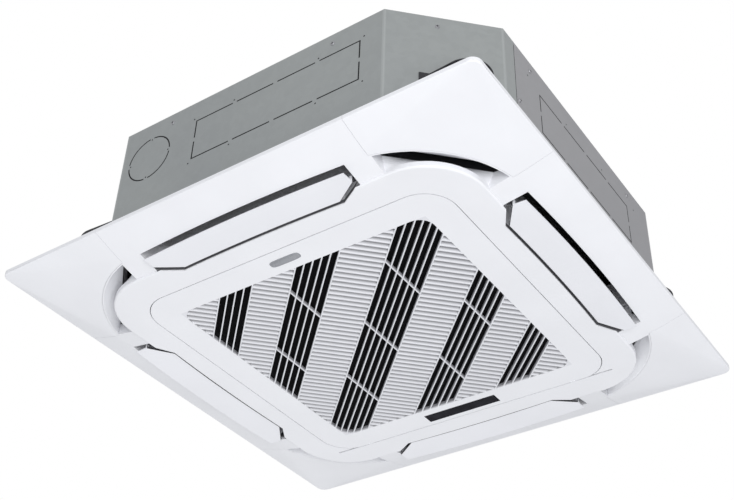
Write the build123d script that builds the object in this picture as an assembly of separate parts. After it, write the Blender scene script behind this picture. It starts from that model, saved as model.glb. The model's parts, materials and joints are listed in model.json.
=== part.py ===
from build123d import *
import os
from math import ceil, cos, floor, hypot, radians, sin, sqrt

# Four-way ceiling cassette air conditioner: a steel body that hangs on four rods in the ceiling void,
# and a moulded panel below the ceiling with a hinged intake grille and an air ring around it.
# Millimetres. +Z is up, -Y is the front with the plate on the grille, +Y is the side of the grille's
# hinge, and the pipes leave on the -X side. The origin is the centre of the four hanger slots, on the
# underside of the hanger brackets.

os.makedirs("parts", exist_ok=True)

# ---------------------------------------------------------------------------------------------------
# Driving dimensions
# ---------------------------------------------------------------------------------------------------
# Body
BODY = 840              # across the flats
BODY_CHAMFER = 140      # leg of each cut corner
BODY_H = 250
SHEET = 1.2             # casing steel
FOLD_R = 3.0            # outside radius of the casing's folds
TOP_LIP = 30            # depth of the lip of the top plate inside the sheets
SEAM_FLANGE = 34        # the front sheet's flange on the left and right sides
GAP = 0.3               # assembly clearance between separate pieces

# Hanging
HANGER_X = 780          # hanger bolt pitch along X
HANGER_Y = 680          # hanger bolt pitch along Y
HANGER_SLOT_W = 12
HANGER_SLOT_L = 40
HANGER_TONGUE_R = 42
HANGER_TONGUE_AT = (-5, 3)      # middle of the tongue's round end, from the middle of the slot
BRACKET_T = 2.0
BRACKET_RISE = 18       # the bracket's flange above its tongue
BRACKET_W = 84

# Levels
CEILING_Z = -114        # underside of the ceiling, below the brackets' underside
COLLAR_RISE = 14        # top of the panel frame above the ceiling
GASKET_T = 3.0

# Panel
PANEL_LAP = 55          # panel edge beyond the body
PANEL_R = 16
RIM_H = 8
RIM_EDGE_R = 2.4        # rounding of the rim's lower edge
SKIN = 2.5              # moulded outer wall
WALL = 2.2              # moulded inner walls
DISH_DROP = 19          # from the rim down to the air ring's outline
BRIDGE_DROP = 26        # from the rim down to the foot of the island
FACE_DROP = 30          # from the rim down to the face of the island
ISLAND_EDGE_R = 3.5

# Air ring (outline, outlets and corner slots)
RING_INSET = 11         # body side to the outline at the ends of its side arcs
RING_SPAN = 215         # half length of a side arc
RING_BULGE = 6.5
RING_CORNER_CUT = 61    # the outline's corner, set back from the square, along each axis
BRIDGE_RUN = 43         # the outline to the island, at the bridges
ISLAND_CORNER_CUT = 31.5
OUTLET_HALF = 206.5
OUTLET_W = 64
OUTLET_BULGE = 3.5      # the inner edge comes out by this much at its middle
OUTLET_NOSE = 43.5      # length of the slanted corners along the outlet
OUTLET_NOSE_W = 26      # width of the slanted corners across the outlet
SLOT_END = 252          # ends of the corner slots, from the middle of a side
SLIT_W = 19             # width of the straight slit above each corner slot
SLIT_RISE = 3           # foot of the straight slit above the rim's lower edge
COVER_SEAM = 248        # seams of the corner covers, from the middle of a side
SEAM = 0.5              # width of the seams between the panel's pieces
RIB_PITCH = 95          # stiffening ribs behind the sloped border

# Panel bolts
BOLT_AT = 372           # panel bolts, from the centre along each axis
BOLT_R = 3.0
BOLT_HEAD_R = 5.5
BOLT_HEAD_H = 5.0
BOLT_GRIP = 3.0         # boss wall between the bolt's head and the bracket's tab
BOSS_R = 10
BOLT_HOLE_GAP = 0.4
BOLT_SHANK_L = 14
GASKET_W = 6            # width of the foam round the well

# Flaps
FLAP_END_GAP = 5.5      # the outlet's end to the flap's end
FLAP_EDGE_GAP = 6.5     # the outline to the flap's outer edge
FLAP_IN_GAP = 3.8       # the outlet's inner edge to the flap's inner edge
FLAP_T = 3.0
FLAP_EDGE_T = 1.6
FLAP_DROP = 3.4         # fall of the flap from its inner to its outer edge, slightly open
FLAP_CROWN = 0.8        # bow of its lower face
FLAP_RISE = 3.0         # lower face above the island's face at its inner edge
PIVOT_IN = 35           # pivot, from the ends of the outline
PIVOT_RISE = 12         # pivot above the island's face
PIN_R = 2.5
PIN_FIT = 0.05          # radial clearance of turning pins in their bores
FLAP_NOSE_GAP = 7.0     # the outlet's slanted corner to the flap's, across the outlet
FLAP_EAR_T = 3.0
FLAP_EAR_R = 4.5
BUSH_R = 4.0
BUSH_L = 4.0
MOTOR_R = 12            # flap motors
MOTOR_L = 16
MOTOR_OFFSET = 8        # motor centre above its shaft
MOTOR_SEAT = 6          # depth of the flap's pin in the motor's hub
MOTOR_EAR = 17          # half width of the motor's fixing ears
MOTOR_EAR_H = 7
MOTOR_PLUG = 5

# Grille door
DOOR = 613
DOOR_R = 58.5
DOOR_GAP = 1.5
DOOR_EDGE_H = 10        # flange round the door's edge
HINGE_RELIEF = 0.3      # clearance of the island's corners round the door's turning edge
WELL_GAP = 9.5          # door edge to the wall of the well
GRILLE = 506            # opening of the intake grille
GRILLE_R = 28
GRILLE_WALL_H = 17
BAR_PITCH = 12.8
BAR_W = 2.2
BAR_H = 7
BAND_PITCH = 147.2      # dark bands of bars, middle band to its neighbours
BAND_STEP_OUT = 121.8   # and on to the outermost bands
BAND_SLOTS = (6, 5, 4)  # open slots in the middle, next and outermost bands
BLADE_PITCH = 13.13
BLADE_T = 2.0
BLADE_H = 8
BLADE_LEAN = 6          # the blades' upper edge leans this far towards the front right corner
RIB_X_PITCH = 128       # cross ribs in one band, along X
RIB_X_PHASE = {-1: -51.3, 0: 5.7, 1: 59.4}
EAR_X = 230             # hinge ears, from the middle
EAR_T = 5.0
EAR_R = 2.4
EAR_H = 5.0
LUG_T = 4.0
DOOR_PIN_R = 1.2
CATCH_X = 150
CATCH_W = 16
CATCH_NOSE_R = 2.0
RIB_INSET = 0.5         # the cross ribs stand back from the bars' lower edges

# Filter and display
FILTER_H = 8
FILTER_BORDER = 9
FILTER_BARS = 5
FILTER_BAR_W = 3.0
MESH_T = 0.8
WINDOW_W = 156
WINDOW_D = 25
WINDOW_IN = 10.9        # display window, from the door's rear edge
WINDOW_CASE_H = 9

# Casing details
BOTTOM_LIP = 14         # the sheets' flange turned in below the drain pan
KNOCK_SLOT = 2.0        # width of the slots round the knock-outs
KNOCK_TAB = 9           # length of the tabs that hold the knock-outs
KNOCK_R = 48
KNOCK_X = -215
KNOCK_RISE = 165        # round knock-out's centre above the body's bottom
FRONT_WINDOW = (-111, 235, 112.5, 202.5)    # left, right, low and high edges, from the body's bottom
RIGHT_WINDOW = (-160, 184, 111.5, 198.5)
TAB_STEP = 87           # spacing of the tabs along the rectangular knock-outs
LINER_T = 12            # foam on the walls
TOP_FOAM_T = 8
TOP_FOAM_HOLE_R = 112

# Drain pan
PAN_H = 50
PAN_FLOOR = 25
PAN_HOLE_R = 262
PAN_OUTLET_W = 60
PAN_OUTLET_HALF = 200
GROOVE_OUT = 344        # outer wall of the water groove
GROOVE_IN = 294
GROOVE_R = 90
SUMP_GAP = 6            # sump's wall round the drain pump
SUMP_DEPTH = 7

# Coil
COIL_OUT = 338
COIL_T = 38
COIL_R = 119            # outside radius of the coil's corners, which leave room for the corner slits
COIL_H = 210
COIL_END_Y = 170        # where the coil ends on the left side
COIL_END_X = -200       # where the coil ends on the rear side
TUBE_R = 4.8
TUBE_ROWS = 8
TUBE_STEP = 25
TUBE_PAIR = 19          # pitch between the two rows of tubes
END_PLATE_T = 1.5
END_PLATE_GROW = 2.0
HEADER_R = 11
HEADER_Y = 200
GAS_R = 7.9
LIQUID_R = 4.8
LIQUID_Y = 228
GAS_RISE = 125          # unions' height above the body's bottom
LIQUID_RISE = 150
DISTRIBUTOR_R = 9
DISTRIBUTOR_H = 40
FEED_RISE = 31          # the feed pipe's height above the body's bottom
GAS_UNION_R = 11.1
LIQUID_UNION_R = 7.94
UNION_NUT_L = 20
UNION_PROUD = 2.0       # the nuts stand out of the cover by this much
UNION_OUT = 32          # the unions stand out of the side by this much
PIPE_COVER = (170, 272, 95, 222)    # low Y, high Y, low and high edges from the body's bottom
PIPE_HOLE_GAP = 1.0
NUT_WIDTH = 1.25        # corner radius of the unions' nuts as a share of the nose's radius
COVER_LAP = 10

# Drain pump
PUMP_X = -285
PUMP_Y = 285
PUMP_R = 27
PUMP_FOOT_R = 12
PUMP_LOW = 34           # pump body above the body's bottom
PUMP_H = 88
PUMP_COLLAR_W = 4
PUMP_ARM_T = 6
PUMP_ARM_W = 28
HOSE_R = 9
HOSE_BORE_R = 7
HOSE_BEND_R = 18
DRAIN_Y = 252
DRAIN_RISE = 190
DRAIN_R = 16
DRAIN_BORE_R = 12.5
DRAIN_OUT = 38
DRAIN_SHOULDER = 2.0
FLOAT_X = -240
FLOAT_Y = 318
FLOAT_R = 11

# Fan
FAN_INLET_R = 208
FAN_R = 240
FAN_LOW = 51            # the fan's inlet edge above the body's bottom
FAN_SHOULDER = 90       # the shroud's outer edge
FAN_TOP = 210           # back plate
FAN_WALL = 2.5
FAN_PLATE_T = 3.0
DOME_R = 150
DOME_NOSE_R = 34
DOME_LOW = 125
BLADES = 7
BLADE_ROOT_R = 158
BLADE_SWEEP = 38        # the blades' outer edges trail their inner edges by this many degrees
FAN_BLADE_T = 4.0
SHAFT_R = 6.0
SHAFT_L = 76
SHAFT_LOW = 110
HUB_R = 16
HUB_L = 17
NUT_R = 9
NUT_H = 8
BELL_FLANGE_R = 285
BELL_THROAT_R = 200
BELL_T = 2.0
BELL_OVERLAP = 8        # the bell mouth's lip inside the fan's inlet
MOTOR_HOUSING_R = 66
MOTOR_LOW = 147
MOTOR_H = 84
MOTOR_BORE_L = 34
FOOT_R = 9
FOOT_H = 12
FOOT_AT = 84            # the rubber feet's circle
FOOT_LUG_T = 5
MOUNT_PLATE_T = 3.0
MOUNT_PLATE = 220

# Control box
CONTROL_X = (-300, -222)
CONTROL_HALF = 185
CONTROL_H = 30
CONTROL_WALL = 1.2
BOARD_T = 1.6
BOARD_RISE = 8
GROMMET_R = 9
GROMMET_HOLE_R = 6
GROMMET_RISE = 120
GROMMET_Y = -150

# ---------------------------------------------------------------------------------------------------
# Levels and outlines worked out from them
# ---------------------------------------------------------------------------------------------------
HALF = BODY / 2
PANEL = BODY + 2 * PANEL_LAP
RIM_Z = CEILING_Z - RIM_H
FRAME_TOP_Z = CEILING_Z + COLLAR_RISE
BODY_BOTTOM_Z = FRAME_TOP_Z + GASKET_T
BODY_TOP_Z = BODY_BOTTOM_Z + BODY_H
RING_Z = RIM_Z - DISH_DROP
BRIDGE_Z = RIM_Z - BRIDGE_DROP
FACE_Z = RIM_Z - FACE_DROP
SLIT_Z = RIM_Z + SLIT_RISE

RING_END = HALF - RING_INSET
RING_DIAG = RING_END - RING_CORNER_CUT
ISLAND = RING_END - BRIDGE_RUN
OUTLET_IN = RING_END - OUTLET_W
PIVOT_Y = RING_END - PIVOT_IN
PIVOT_Z = FACE_Z + PIVOT_RISE
FLAP_HALF = OUTLET_HALF - FLAP_END_GAP
DOOR_HOLE = DOOR / 2 + DOOR_GAP
WELL = DOOR / 2 + WELL_GAP
DOOR_AXIS_Y = DOOR / 2 - SKIN / 2   # the hinge turns about the middle of the door's rear edge
DOOR_AXIS_Z = FACE_Z + SKIN / 2
FILTER_Z = FACE_Z + BLADE_H
EPS = 1.0               # how far cutting tools run past what they cut


def soft_square(span, end, mid, diag):
    """Four-sided face: each side bows from `end` at +-span to `mid`, each corner arc passes (diag, diag)."""
    edges = []
    for quarter in range(4):
        turn = Rot(0, 0, 90 * quarter)
        if abs(mid - end) < 0.01:
            side = Line((-span, -end), (span, -end))
        else:
            side = ThreePointArc((-span, -end), (0, -mid), (span, -end))
        corner = ThreePointArc((span, -end), (diag, -diag), (end, -span))
        edges += [turn * side, turn * corner]
    return make_face(edges)


def rounded(half, radius):
    return soft_square(half - radius, half, half, half - radius + radius / sqrt(2))


def octagon(half, leg):
    flat = half - leg
    edges = []
    for quarter in range(4):
        turn = Rot(0, 0, 90 * quarter)
        edges.append(turn * Line((-flat, -half), (flat, -half)))
        edges.append(turn * Line((flat, -half), (half, -flat)))
    return make_face(edges)


def prism(face, low, high):
    return extrude(Pos(0, 0, low) * face, amount=high - low, dir=(0, 0, 1))


def block(x0, x1, y0, y1, z0, z1):
    return Pos((x0 + x1) / 2, (y0 + y1) / 2, (z0 + z1) / 2) * Box(x1 - x0, y1 - y0, z1 - z0)


def rod(radius, start, end):
    """Round bar between two points on a line along one axis."""
    run = Vector(*end) - Vector(*start)
    plane = Plane(origin=start, z_dir=run)
    return extrude(plane * Circle(radius), amount=run.length)


def around(shape):
    """The four copies of a shape on the front, right, rear and left sides."""
    return [Rot(0, 0, 90 * quarter) * shape for quarter in range(4)]


def save(name, shape):
    export_step(shape, f"parts/{name}.step")


# ---------------------------------------------------------------------------------------------------
# Panel outlines
# ---------------------------------------------------------------------------------------------------
def ring(grow=0.0):
    return soft_square(RING_SPAN, RING_END + grow, RING_END + RING_BULGE + grow, RING_DIAG + grow / sqrt(2))


def island(inset=0.0):
    half = ISLAND - inset
    return soft_square(SLOT_END, half, half, ISLAND - ISLAND_CORNER_CUT - inset / sqrt(2))


def ring_reach(across):
    """Distance of the outline's corner arc from the X axis, at `across` from the Y axis."""
    c = (RING_SPAN ** 2 + RING_END ** 2 - 2 * RING_DIAG ** 2) / (2 * (RING_SPAN + RING_END) - 4 * RING_DIAG)
    radius = (RING_DIAG - c) * sqrt(2)
    return c + sqrt(radius ** 2 - (across - c) ** 2)


def outlet_face(grow=0.0):
    """Plan of the front outlet: bowed long sides, square outer corners and slanted inner corners."""
    end = OUTLET_HALF + grow
    nose_x = OUTLET_HALF - OUTLET_NOSE + grow * 0.4
    outer = RING_END + grow
    inner = OUTLET_IN - grow
    nose_y = OUTLET_IN + OUTLET_NOSE_W - grow * 0.4
    outer_mid = RING_END + RING_BULGE + grow
    inner_mid = OUTLET_IN + OUTLET_BULGE - grow
    return make_face([
        ThreePointArc((-end, -outer), (0, -outer_mid), (end, -outer)),
        Line((end, -outer), (end, -nose_y)),
        Line((end, -nose_y), (nose_x, -inner)),
        ThreePointArc((nose_x, -inner), (0, -inner_mid), (-nose_x, -inner)),
        Line((-nose_x, -inner), (-end, -nose_y)),
        Line((-end, -nose_y), (-end, -outer)),
    ])


def slot_mouth(grow=0.0):
    """Plan of the front right corner slot at the panel's face: an arc-shaped opening."""
    end = SLOT_END - grow
    outer = ring_reach(SLOT_END) + grow
    inner = ISLAND - grow
    outer_mid = RING_DIAG + grow / sqrt(2)
    inner_mid = ISLAND - ISLAND_CORNER_CUT - grow / sqrt(2)
    return make_face([
        Line((end, -inner), (end, -outer)),
        ThreePointArc((end, -outer), (outer_mid, -outer_mid), (outer, -end)),
        Line((outer, -end), (inner, -end)),
        ThreePointArc((inner, -end), (inner_mid, -inner_mid), (end, -inner)),
    ])


def slot_slit(grow=0.0):
    """Plan of the straight slit that the corner slot narrows to."""
    end = SLOT_END - grow
    outer = ring_reach(SLOT_END) + grow * 1.4
    inner = ring_reach(SLOT_END) - SLIT_W * sqrt(2) - grow * 1.4
    return make_face([
        Line((end, -inner), (end, -outer)),
        Line((end, -outer), (outer, -end)),
        Line((outer, -end), (inner, -end)),
        Line((inner, -end), (end, -inner)),
    ])


def slot_void(grow=0.0, low=FACE_Z - EPS, high=FRAME_TOP_Z + EPS):
    """The front right corner slot as a solid: mouth, blend from the arcs to the slit, and slit."""
    mouth = prism(slot_mouth(grow), low, RING_Z)
    blend = loft([Pos(0, 0, RING_Z) * slot_mouth(grow), Pos(0, 0, SLIT_Z) * slot_slit(grow)], ruled=True)
    return mouth + blend + prism(slot_slit(grow), SLIT_Z, high)


def above(inset, top):
    """The space above the panel's face, set back by `inset` from every outer surface."""
    rim = rounded(PANEL / 2 - inset, PANEL_R - inset)
    rim_block = prism(rim, RIM_Z + inset, top)
    dish = loft([Pos(0, 0, RIM_Z + inset) * rim, Pos(0, 0, RING_Z + inset) * ring()], ruled=True)
    step = loft([Pos(0, 0, RING_Z + inset) * ring(), Pos(0, 0, BRIDGE_Z + inset) * island()], ruled=True)
    foot = prism(island(inset), FACE_Z + inset, BRIDGE_Z + inset)
    border = rim_block + dish
    if inset == 0:
        foot = fillet(foot.faces().sort_by(Axis.Z)[0].edges(), ISLAND_EDGE_R)
        border = fillet(border.edges().filter_by_position(Axis.Z, RIM_Z - EPS, RIM_Z + EPS), RIM_EDGE_R)
    return border + step + foot


# ---------------------------------------------------------------------------------------------------
# Panel
# ---------------------------------------------------------------------------------------------------
def corner_zone(gap):
    """Front right corner: outside the seams and outside the wall round the slot, set back by gap."""
    reach = PANEL / 2 + EPS
    zone = block(COVER_SEAM + gap, reach, -reach, -COVER_SEAM - gap, FACE_Z, FRAME_TOP_Z)
    return zone - prism(ring(WALL + gap), FACE_Z - EPS, FRAME_TOP_Z + EPS)


def bolt_boss():
    """Boss of the front right panel bolt, open below for the bolt's head."""
    top = BODY_BOTTOM_Z + BRACKET_T
    seat = top - BOLT_GRIP
    boss = prism(Pos(BOLT_AT, -BOLT_AT) * Circle(BOSS_R), RING_Z, top)
    recess = prism(Pos(BOLT_AT, -BOLT_AT) * Circle(BOLT_HEAD_R + 2 * BOLT_HOLE_GAP), FACE_Z, seat)
    hole = prism(Pos(BOLT_AT, -BOLT_AT) * Circle(BOLT_R + BOLT_HOLE_GAP), FACE_Z, top + EPS)
    return boss, recess + hole


def border_ribs():
    """Ribs behind the sloped border, from the outlets' walls out to the rim."""
    count = floor(2 * (COVER_SEAM - WALL) / RIB_PITCH)
    start = -RIB_PITCH * count / 2
    ribs = []
    for i in range(count + 1):
        x = start + i * RIB_PITCH
        ribs.append(block(x - WALL / 2, x + WALL / 2, -PANEL / 2, -RING_END - WALL / 2, RING_Z, CEILING_Z))
    return ribs


def door_ear():
    """Right hinge ear: an arm from the rear wall of the well to the hinge pin in the door's rear edge."""
    y = DOOR_AXIS_Y
    z = DOOR_AXIS_Z
    x0 = EAR_X - EAR_T / 2
    x1 = EAR_X + EAR_T / 2
    arm = block(x0, x1, y, WELL + WALL / 2, FACE_Z, FACE_Z + EAR_H)
    eye = rod(EAR_R, (x0, y, z), (x1, y, z))
    pin = rod(DOOR_PIN_R, (x0 - LUG_T - SEAM, y, z), (x0, y, z))
    return arm + eye + pin


def make_panel_frame():
    shell = above(0, CEILING_Z) - above(SKIN, FRAME_TOP_Z)
    well_wall = prism(rounded(WELL + WALL, DOOR_R + WELL_GAP + WALL), FACE_Z, FRAME_TOP_Z)
    well_wall -= prism(rounded(WELL, DOOR_R + WELL_GAP), FACE_Z - EPS, FRAME_TOP_Z + EPS)
    walls = [well_wall]
    walls += around(prism(outlet_face(WALL), FACE_Z, FRAME_TOP_Z))
    walls += around(slot_void(WALL, high=FRAME_TOP_Z))
    for rib in border_ribs():
        walls += around(rib)
    frame = shell + [wall & above(SKIN, FRAME_TOP_Z) for wall in walls]
    frame -= around(prism(outlet_face(), FACE_Z - EPS, FRAME_TOP_Z + EPS))
    frame -= around(slot_void())
    # corners: the skin gives way to the cover's seat, one wall further in
    frame -= around(corner_zone(0))
    seat = (above(SKIN, CEILING_Z) - above(SKIN + WALL, FRAME_TOP_Z)) & corner_zone(-WALL)
    boss, boss_hole = bolt_boss()
    seat += boss & above(SKIN, BODY_TOP_Z)
    frame += around(seat)
    frame -= around(boss_hole)
    # grille door's opening, its corners relieved where the door's rear edge turns
    frame -= prism(rounded(DOOR_HOLE, DOOR_R + DOOR_GAP), FACE_Z - EPS, FACE_Z + SKIN + EPS)
    frame -= rod(SKIN / sqrt(2) + HINGE_RELIEF, (-DOOR / 2, DOOR_AXIS_Y, DOOR_AXIS_Z),
                 (DOOR / 2, DOOR_AXIS_Y, DOOR_AXIS_Z))
    ear = door_ear()
    frame += [ear, mirror(ear, Plane.YZ)]
    # bores of the flaps' pins
    for side in (-1, 1):
        bore = rod(PIN_R + PIN_FIT, (side * (OUTLET_HALF - EPS), -PIVOT_Y, PIVOT_Z),
                   (side * (OUTLET_HALF + WALL + EPS), -PIVOT_Y, PIVOT_Z))
        frame -= around(bore)
    return frame


def make_corner_cover():
    return (above(0, CEILING_Z) - above(SKIN, FRAME_TOP_Z)) & corner_zone(SEAM)


def make_panel_bolt():
    """Front right panel bolt, up through its boss and the bracket's tab."""
    seat = BODY_BOTTOM_Z + BRACKET_T - BOLT_GRIP
    head = prism(Pos(BOLT_AT, -BOLT_AT) * RegularPolygon(BOLT_HEAD_R, 6), seat - BOLT_HEAD_H, seat)
    shank = prism(Pos(BOLT_AT, -BOLT_AT) * Circle(BOLT_R), seat, seat + BOLT_SHANK_L)
    return head + shank


def make_inner_gasket():
    foam = prism(rounded(WELL + GASKET_W, DOOR_R + WELL_GAP + GASKET_W), FRAME_TOP_Z, BODY_BOTTOM_Z)
    return foam - prism(rounded(WELL, DOOR_R + WELL_GAP), FRAME_TOP_Z - EPS, BODY_BOTTOM_Z + EPS)


def make_outer_gasket():
    foam = prism(ring(WALL), FRAME_TOP_Z, BODY_BOTTOM_Z)
    return foam - prism(ring(), FRAME_TOP_Z - EPS, BODY_BOTTOM_Z + EPS)


# ---------------------------------------------------------------------------------------------------
# Flaps
# ---------------------------------------------------------------------------------------------------
def flap_plan():
    """Plan of the front flap, inside the front outlet."""
    outer = RING_END - FLAP_EDGE_GAP
    inner = OUTLET_IN + FLAP_IN_GAP
    nose_x = OUTLET_HALF - OUTLET_NOSE - FLAP_END_GAP
    nose_y = OUTLET_IN + OUTLET_NOSE_W + FLAP_NOSE_GAP
    return make_face([
        ThreePointArc((-FLAP_HALF, -outer), (0, -outer - RING_BULGE), (FLAP_HALF, -outer)),
        Line((FLAP_HALF, -outer), (FLAP_HALF, -nose_y)),
        Line((FLAP_HALF, -nose_y), (nose_x, -inner)),
        ThreePointArc((nose_x, -inner), (0, -inner - OUTLET_BULGE), (-nose_x, -inner)),
        Line((-nose_x, -inner), (-FLAP_HALF, -nose_y)),
        Line((-FLAP_HALF, -nose_y), (-FLAP_HALF, -outer)),
    ])


def make_flap():
    """Front flap: a crowned plate with an ear and a pin at each end."""
    outer = RING_END + RING_BULGE
    inner = OUTLET_IN
    middle = (outer + inner) / 2
    low_in = FACE_Z + FLAP_RISE
    low_out = low_in - FLAP_DROP
    low_mid = (low_in + low_out) / 2 - FLAP_CROWN
    nose_y = OUTLET_IN + OUTLET_NOSE_W + FLAP_NOSE_GAP
    section = make_face([
        ThreePointArc((-outer, low_out), (-middle, low_mid), (-inner, low_in)),
        Line((-inner, low_in), (-inner, low_in + FLAP_EDGE_T)),
        ThreePointArc((-inner, low_in + FLAP_EDGE_T), (-middle, low_mid + FLAP_T),
                      (-outer, low_out + FLAP_EDGE_T)),
        Line((-outer, low_out + FLAP_EDGE_T), (-outer, low_out)),
    ])
    plate = Pos(-FLAP_HALF, 0, 0) * extrude(Plane.YZ * section, amount=2 * FLAP_HALF)
    plate &= prism(flap_plan(), FACE_Z - FLAP_EDGE_GAP, RIM_Z)
    ends = []
    for side, reach in ((-1, WALL), (1, WALL + MOTOR_SEAT)):
        x1 = side * FLAP_HALF
        x0 = x1 - side * FLAP_EAR_T
        tip = side * (OUTLET_HALF + reach)
        ends.append(rod(FLAP_EAR_R, (x0, -PIVOT_Y, PIVOT_Z), (x1, -PIVOT_Y, PIVOT_Z)))
        ends.append(block(min(x0, x1), max(x0, x1), -nose_y - FLAP_EAR_R, -nose_y,
                          low_mid + FLAP_T / 2, PIVOT_Z))
        bush = 0 if side > 0 else side * BUSH_L
        ends.append(rod(PIN_R, (x1, -PIVOT_Y, PIVOT_Z), (tip + bush, -PIVOT_Y, PIVOT_Z)))
    return plate + ends


def make_flap_motor():
    """Small motor in the pocket beside the front outlet, its hub round the flap's pin."""
    x0 = OUTLET_HALF + WALL
    centre_z = PIVOT_Z + MOTOR_OFFSET
    body = rod(MOTOR_R, (x0, -PIVOT_Y, centre_z), (x0 + MOTOR_L, -PIVOT_Y, centre_z))
    ears = block(x0, x0 + BRACKET_T, -PIVOT_Y - MOTOR_EAR, -PIVOT_Y + MOTOR_EAR, centre_z,
                 centre_z + MOTOR_EAR_H)
    plug = block(x0 + MOTOR_PLUG, x0 + MOTOR_L, -PIVOT_Y - MOTOR_PLUG, -PIVOT_Y + MOTOR_PLUG, centre_z,
                 centre_z + MOTOR_R + MOTOR_PLUG)
    bore = rod(PIN_R + PIN_FIT, (x0 - EPS, -PIVOT_Y, PIVOT_Z), (x0 + MOTOR_SEAT + EPS, -PIVOT_Y, PIVOT_Z))
    return body + ears + plug - bore


def make_flap_bush():
    x0 = -OUTLET_HALF - WALL
    ring_part = rod(BUSH_R, (x0, -PIVOT_Y, PIVOT_Z), (x0 - BUSH_L, -PIVOT_Y, PIVOT_Z))
    return ring_part - rod(PIN_R + PIN_FIT, (x0 + EPS, -PIVOT_Y, PIVOT_Z),
                           (x0 - BUSH_L - EPS, -PIVOT_Y, PIVOT_Z))


# ---------------------------------------------------------------------------------------------------
# Grille door
# ---------------------------------------------------------------------------------------------------
def band_centres():
    """Places of the bands of bars across the grille, each with its number and its open slots."""
    places = [(0, 0.0, BAND_SLOTS[0])]
    for side in (-1, 1):
        places.append((side, side * BAND_PITCH, BAND_SLOTS[1]))
        places.append((2 * side, side * (BAND_PITCH + BAND_STEP_OUT), BAND_SLOTS[2]))
    return sorted(places)


def grille_bars():
    """Bars in bands along one diagonal, built along X and turned into place."""
    reach = GRILLE / sqrt(2)
    bars = []
    for _, centre, slots in band_centres():
        for i in range(slots + 1):
            s = centre + (i - slots / 2) * BAR_PITCH
            bars.append(block(-reach, reach, s - BAR_W / 2, s + BAR_W / 2, FACE_Z, FACE_Z + BAR_H))
    return bars


def louvre_blades():
    """Leaning blades square to the bars, in the wide gaps between the bands."""
    section = make_face(Polyline((0, 0), (BLADE_T, 0), (BLADE_T + BLADE_LEAN, BLADE_H), (BLADE_LEAN, BLADE_H),
                                 close=True))
    reach = GRILLE / sqrt(2)
    blades = []
    edges = [-reach]
    for _, centre, slots in band_centres():
        edges += [centre - slots / 2 * BAR_PITCH, centre + slots / 2 * BAR_PITCH]
    edges.append(reach)
    for s0, s1 in zip(edges[::2], edges[1::2]):
        span = min(abs(s0), abs(s1))
        count = ceil((reach - span) / BLADE_PITCH)
        for i in range(-count, count + 1):
            t = i * BLADE_PITCH
            plane = Plane(origin=(t, s0, FACE_Z), x_dir=(1, 0, 0), z_dir=(0, -1, 0))
            blades.append(extrude(plane * section, amount=-(s1 - s0)))
    return blades


def cross_ribs():
    """Ribs along Y that tie the bars of the three middle bands."""
    ribs = []
    for number, centre, slots in band_centres():
        if abs(number) > 1:
            continue
        half_run = slots * BAR_PITCH / sqrt(2)
        for i in range(-2, 3):
            x = RIB_X_PHASE[number] + i * RIB_X_PITCH
            y = centre * sqrt(2) - x
            if max(abs(x), abs(y)) < GRILLE / 2 - BAR_PITCH:
                ribs.append(block(x - BAR_W / 2, x + BAR_W / 2, y - half_run, y + half_run,
                                  FACE_Z + RIB_INSET, FACE_Z + BAR_H))
    return ribs


def door_lug():
    """Right hinge knuckle of the door, beside the ear of the frame, and its bore."""
    x1 = EAR_X - EAR_T / 2 - SEAM
    x0 = x1 - LUG_T
    eye = rod(EAR_R, (x0, DOOR_AXIS_Y, DOOR_AXIS_Z), (x1, DOOR_AXIS_Y, DOOR_AXIS_Z))
    bore = rod(DOOR_PIN_R + PIN_FIT, (x0 - EPS, DOOR_AXIS_Y, DOOR_AXIS_Z), (x1 + EPS, DOOR_AXIS_Y, DOOR_AXIS_Z))
    return eye, bore


def make_intake_grille():
    """The door: skin with a flange round its edge, inner walls, bars, blades and ribs in one moulding."""
    door = prism(rounded(DOOR / 2, DOOR_R), FACE_Z, FACE_Z + DOOR_EDGE_H)
    door -= prism(rounded(DOOR / 2 - WALL, DOOR_R - WALL), FACE_Z + SKIN, FACE_Z + DOOR_EDGE_H + EPS)
    notch_half = EAR_T / 2 + SEAM
    for side in (-1, 1):
        door -= block(side * EAR_X - notch_half, side * EAR_X + notch_half, DOOR_AXIS_Y - EAR_R - GAP,
                      DOOR / 2 + EPS, FACE_Z - EPS, FACE_Z + DOOR_EDGE_H + EPS)
    inner = rounded(GRILLE / 2, GRILLE_R)
    door += prism(rounded(GRILLE / 2 + WALL, GRILLE_R + WALL), FACE_Z, FACE_Z + GRILLE_WALL_H)
    door -= prism(inner, FACE_Z - EPS, FACE_Z + GRILLE_WALL_H + EPS)
    turned = [Rot(0, 0, -45) * piece for piece in grille_bars() + louvre_blades()]
    # the turn takes the bars' own axis onto the diagonal from the front right to the rear left corner
    grid = turned[0].fuse(*turned[1:], *cross_ribs())
    door += grid & prism(rounded(GRILLE / 2 + WALL / 2, GRILLE_R), FACE_Z, FACE_Z + GRILLE_WALL_H)
    lug, bore = door_lug()
    door += [lug, mirror(lug, Plane.YZ)]
    door -= [bore, mirror(bore, Plane.YZ)]
    window = display_window(GAP)
    return door - window


def display_window(grow=0.0):
    y1 = DOOR / 2 - WINDOW_IN + grow
    half = WINDOW_W / 2 + grow
    return block(-half, half, y1 - WINDOW_D - 2 * grow, y1, FACE_Z - (EPS if grow else 0),
                 FACE_Z + SKIN + (EPS if grow else 0))


def make_display_window():
    """Clear window that fills its opening in the door's rear border."""
    return display_window()


def make_display_case():
    """Case of the display, behind its window."""
    y1 = DOOR / 2 - WINDOW_IN + WALL
    y0 = y1 - WINDOW_D - 2 * WALL
    half = WINDOW_W / 2 + WALL
    z0 = FACE_Z + SKIN
    case = block(-half, half, y0, y1, z0, z0 + WINDOW_CASE_H)
    case -= block(-half + WALL, half - WALL, y0 + WALL, y1 - WALL, z0 - EPS, z0 + WINDOW_CASE_H - WALL)
    return case


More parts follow.
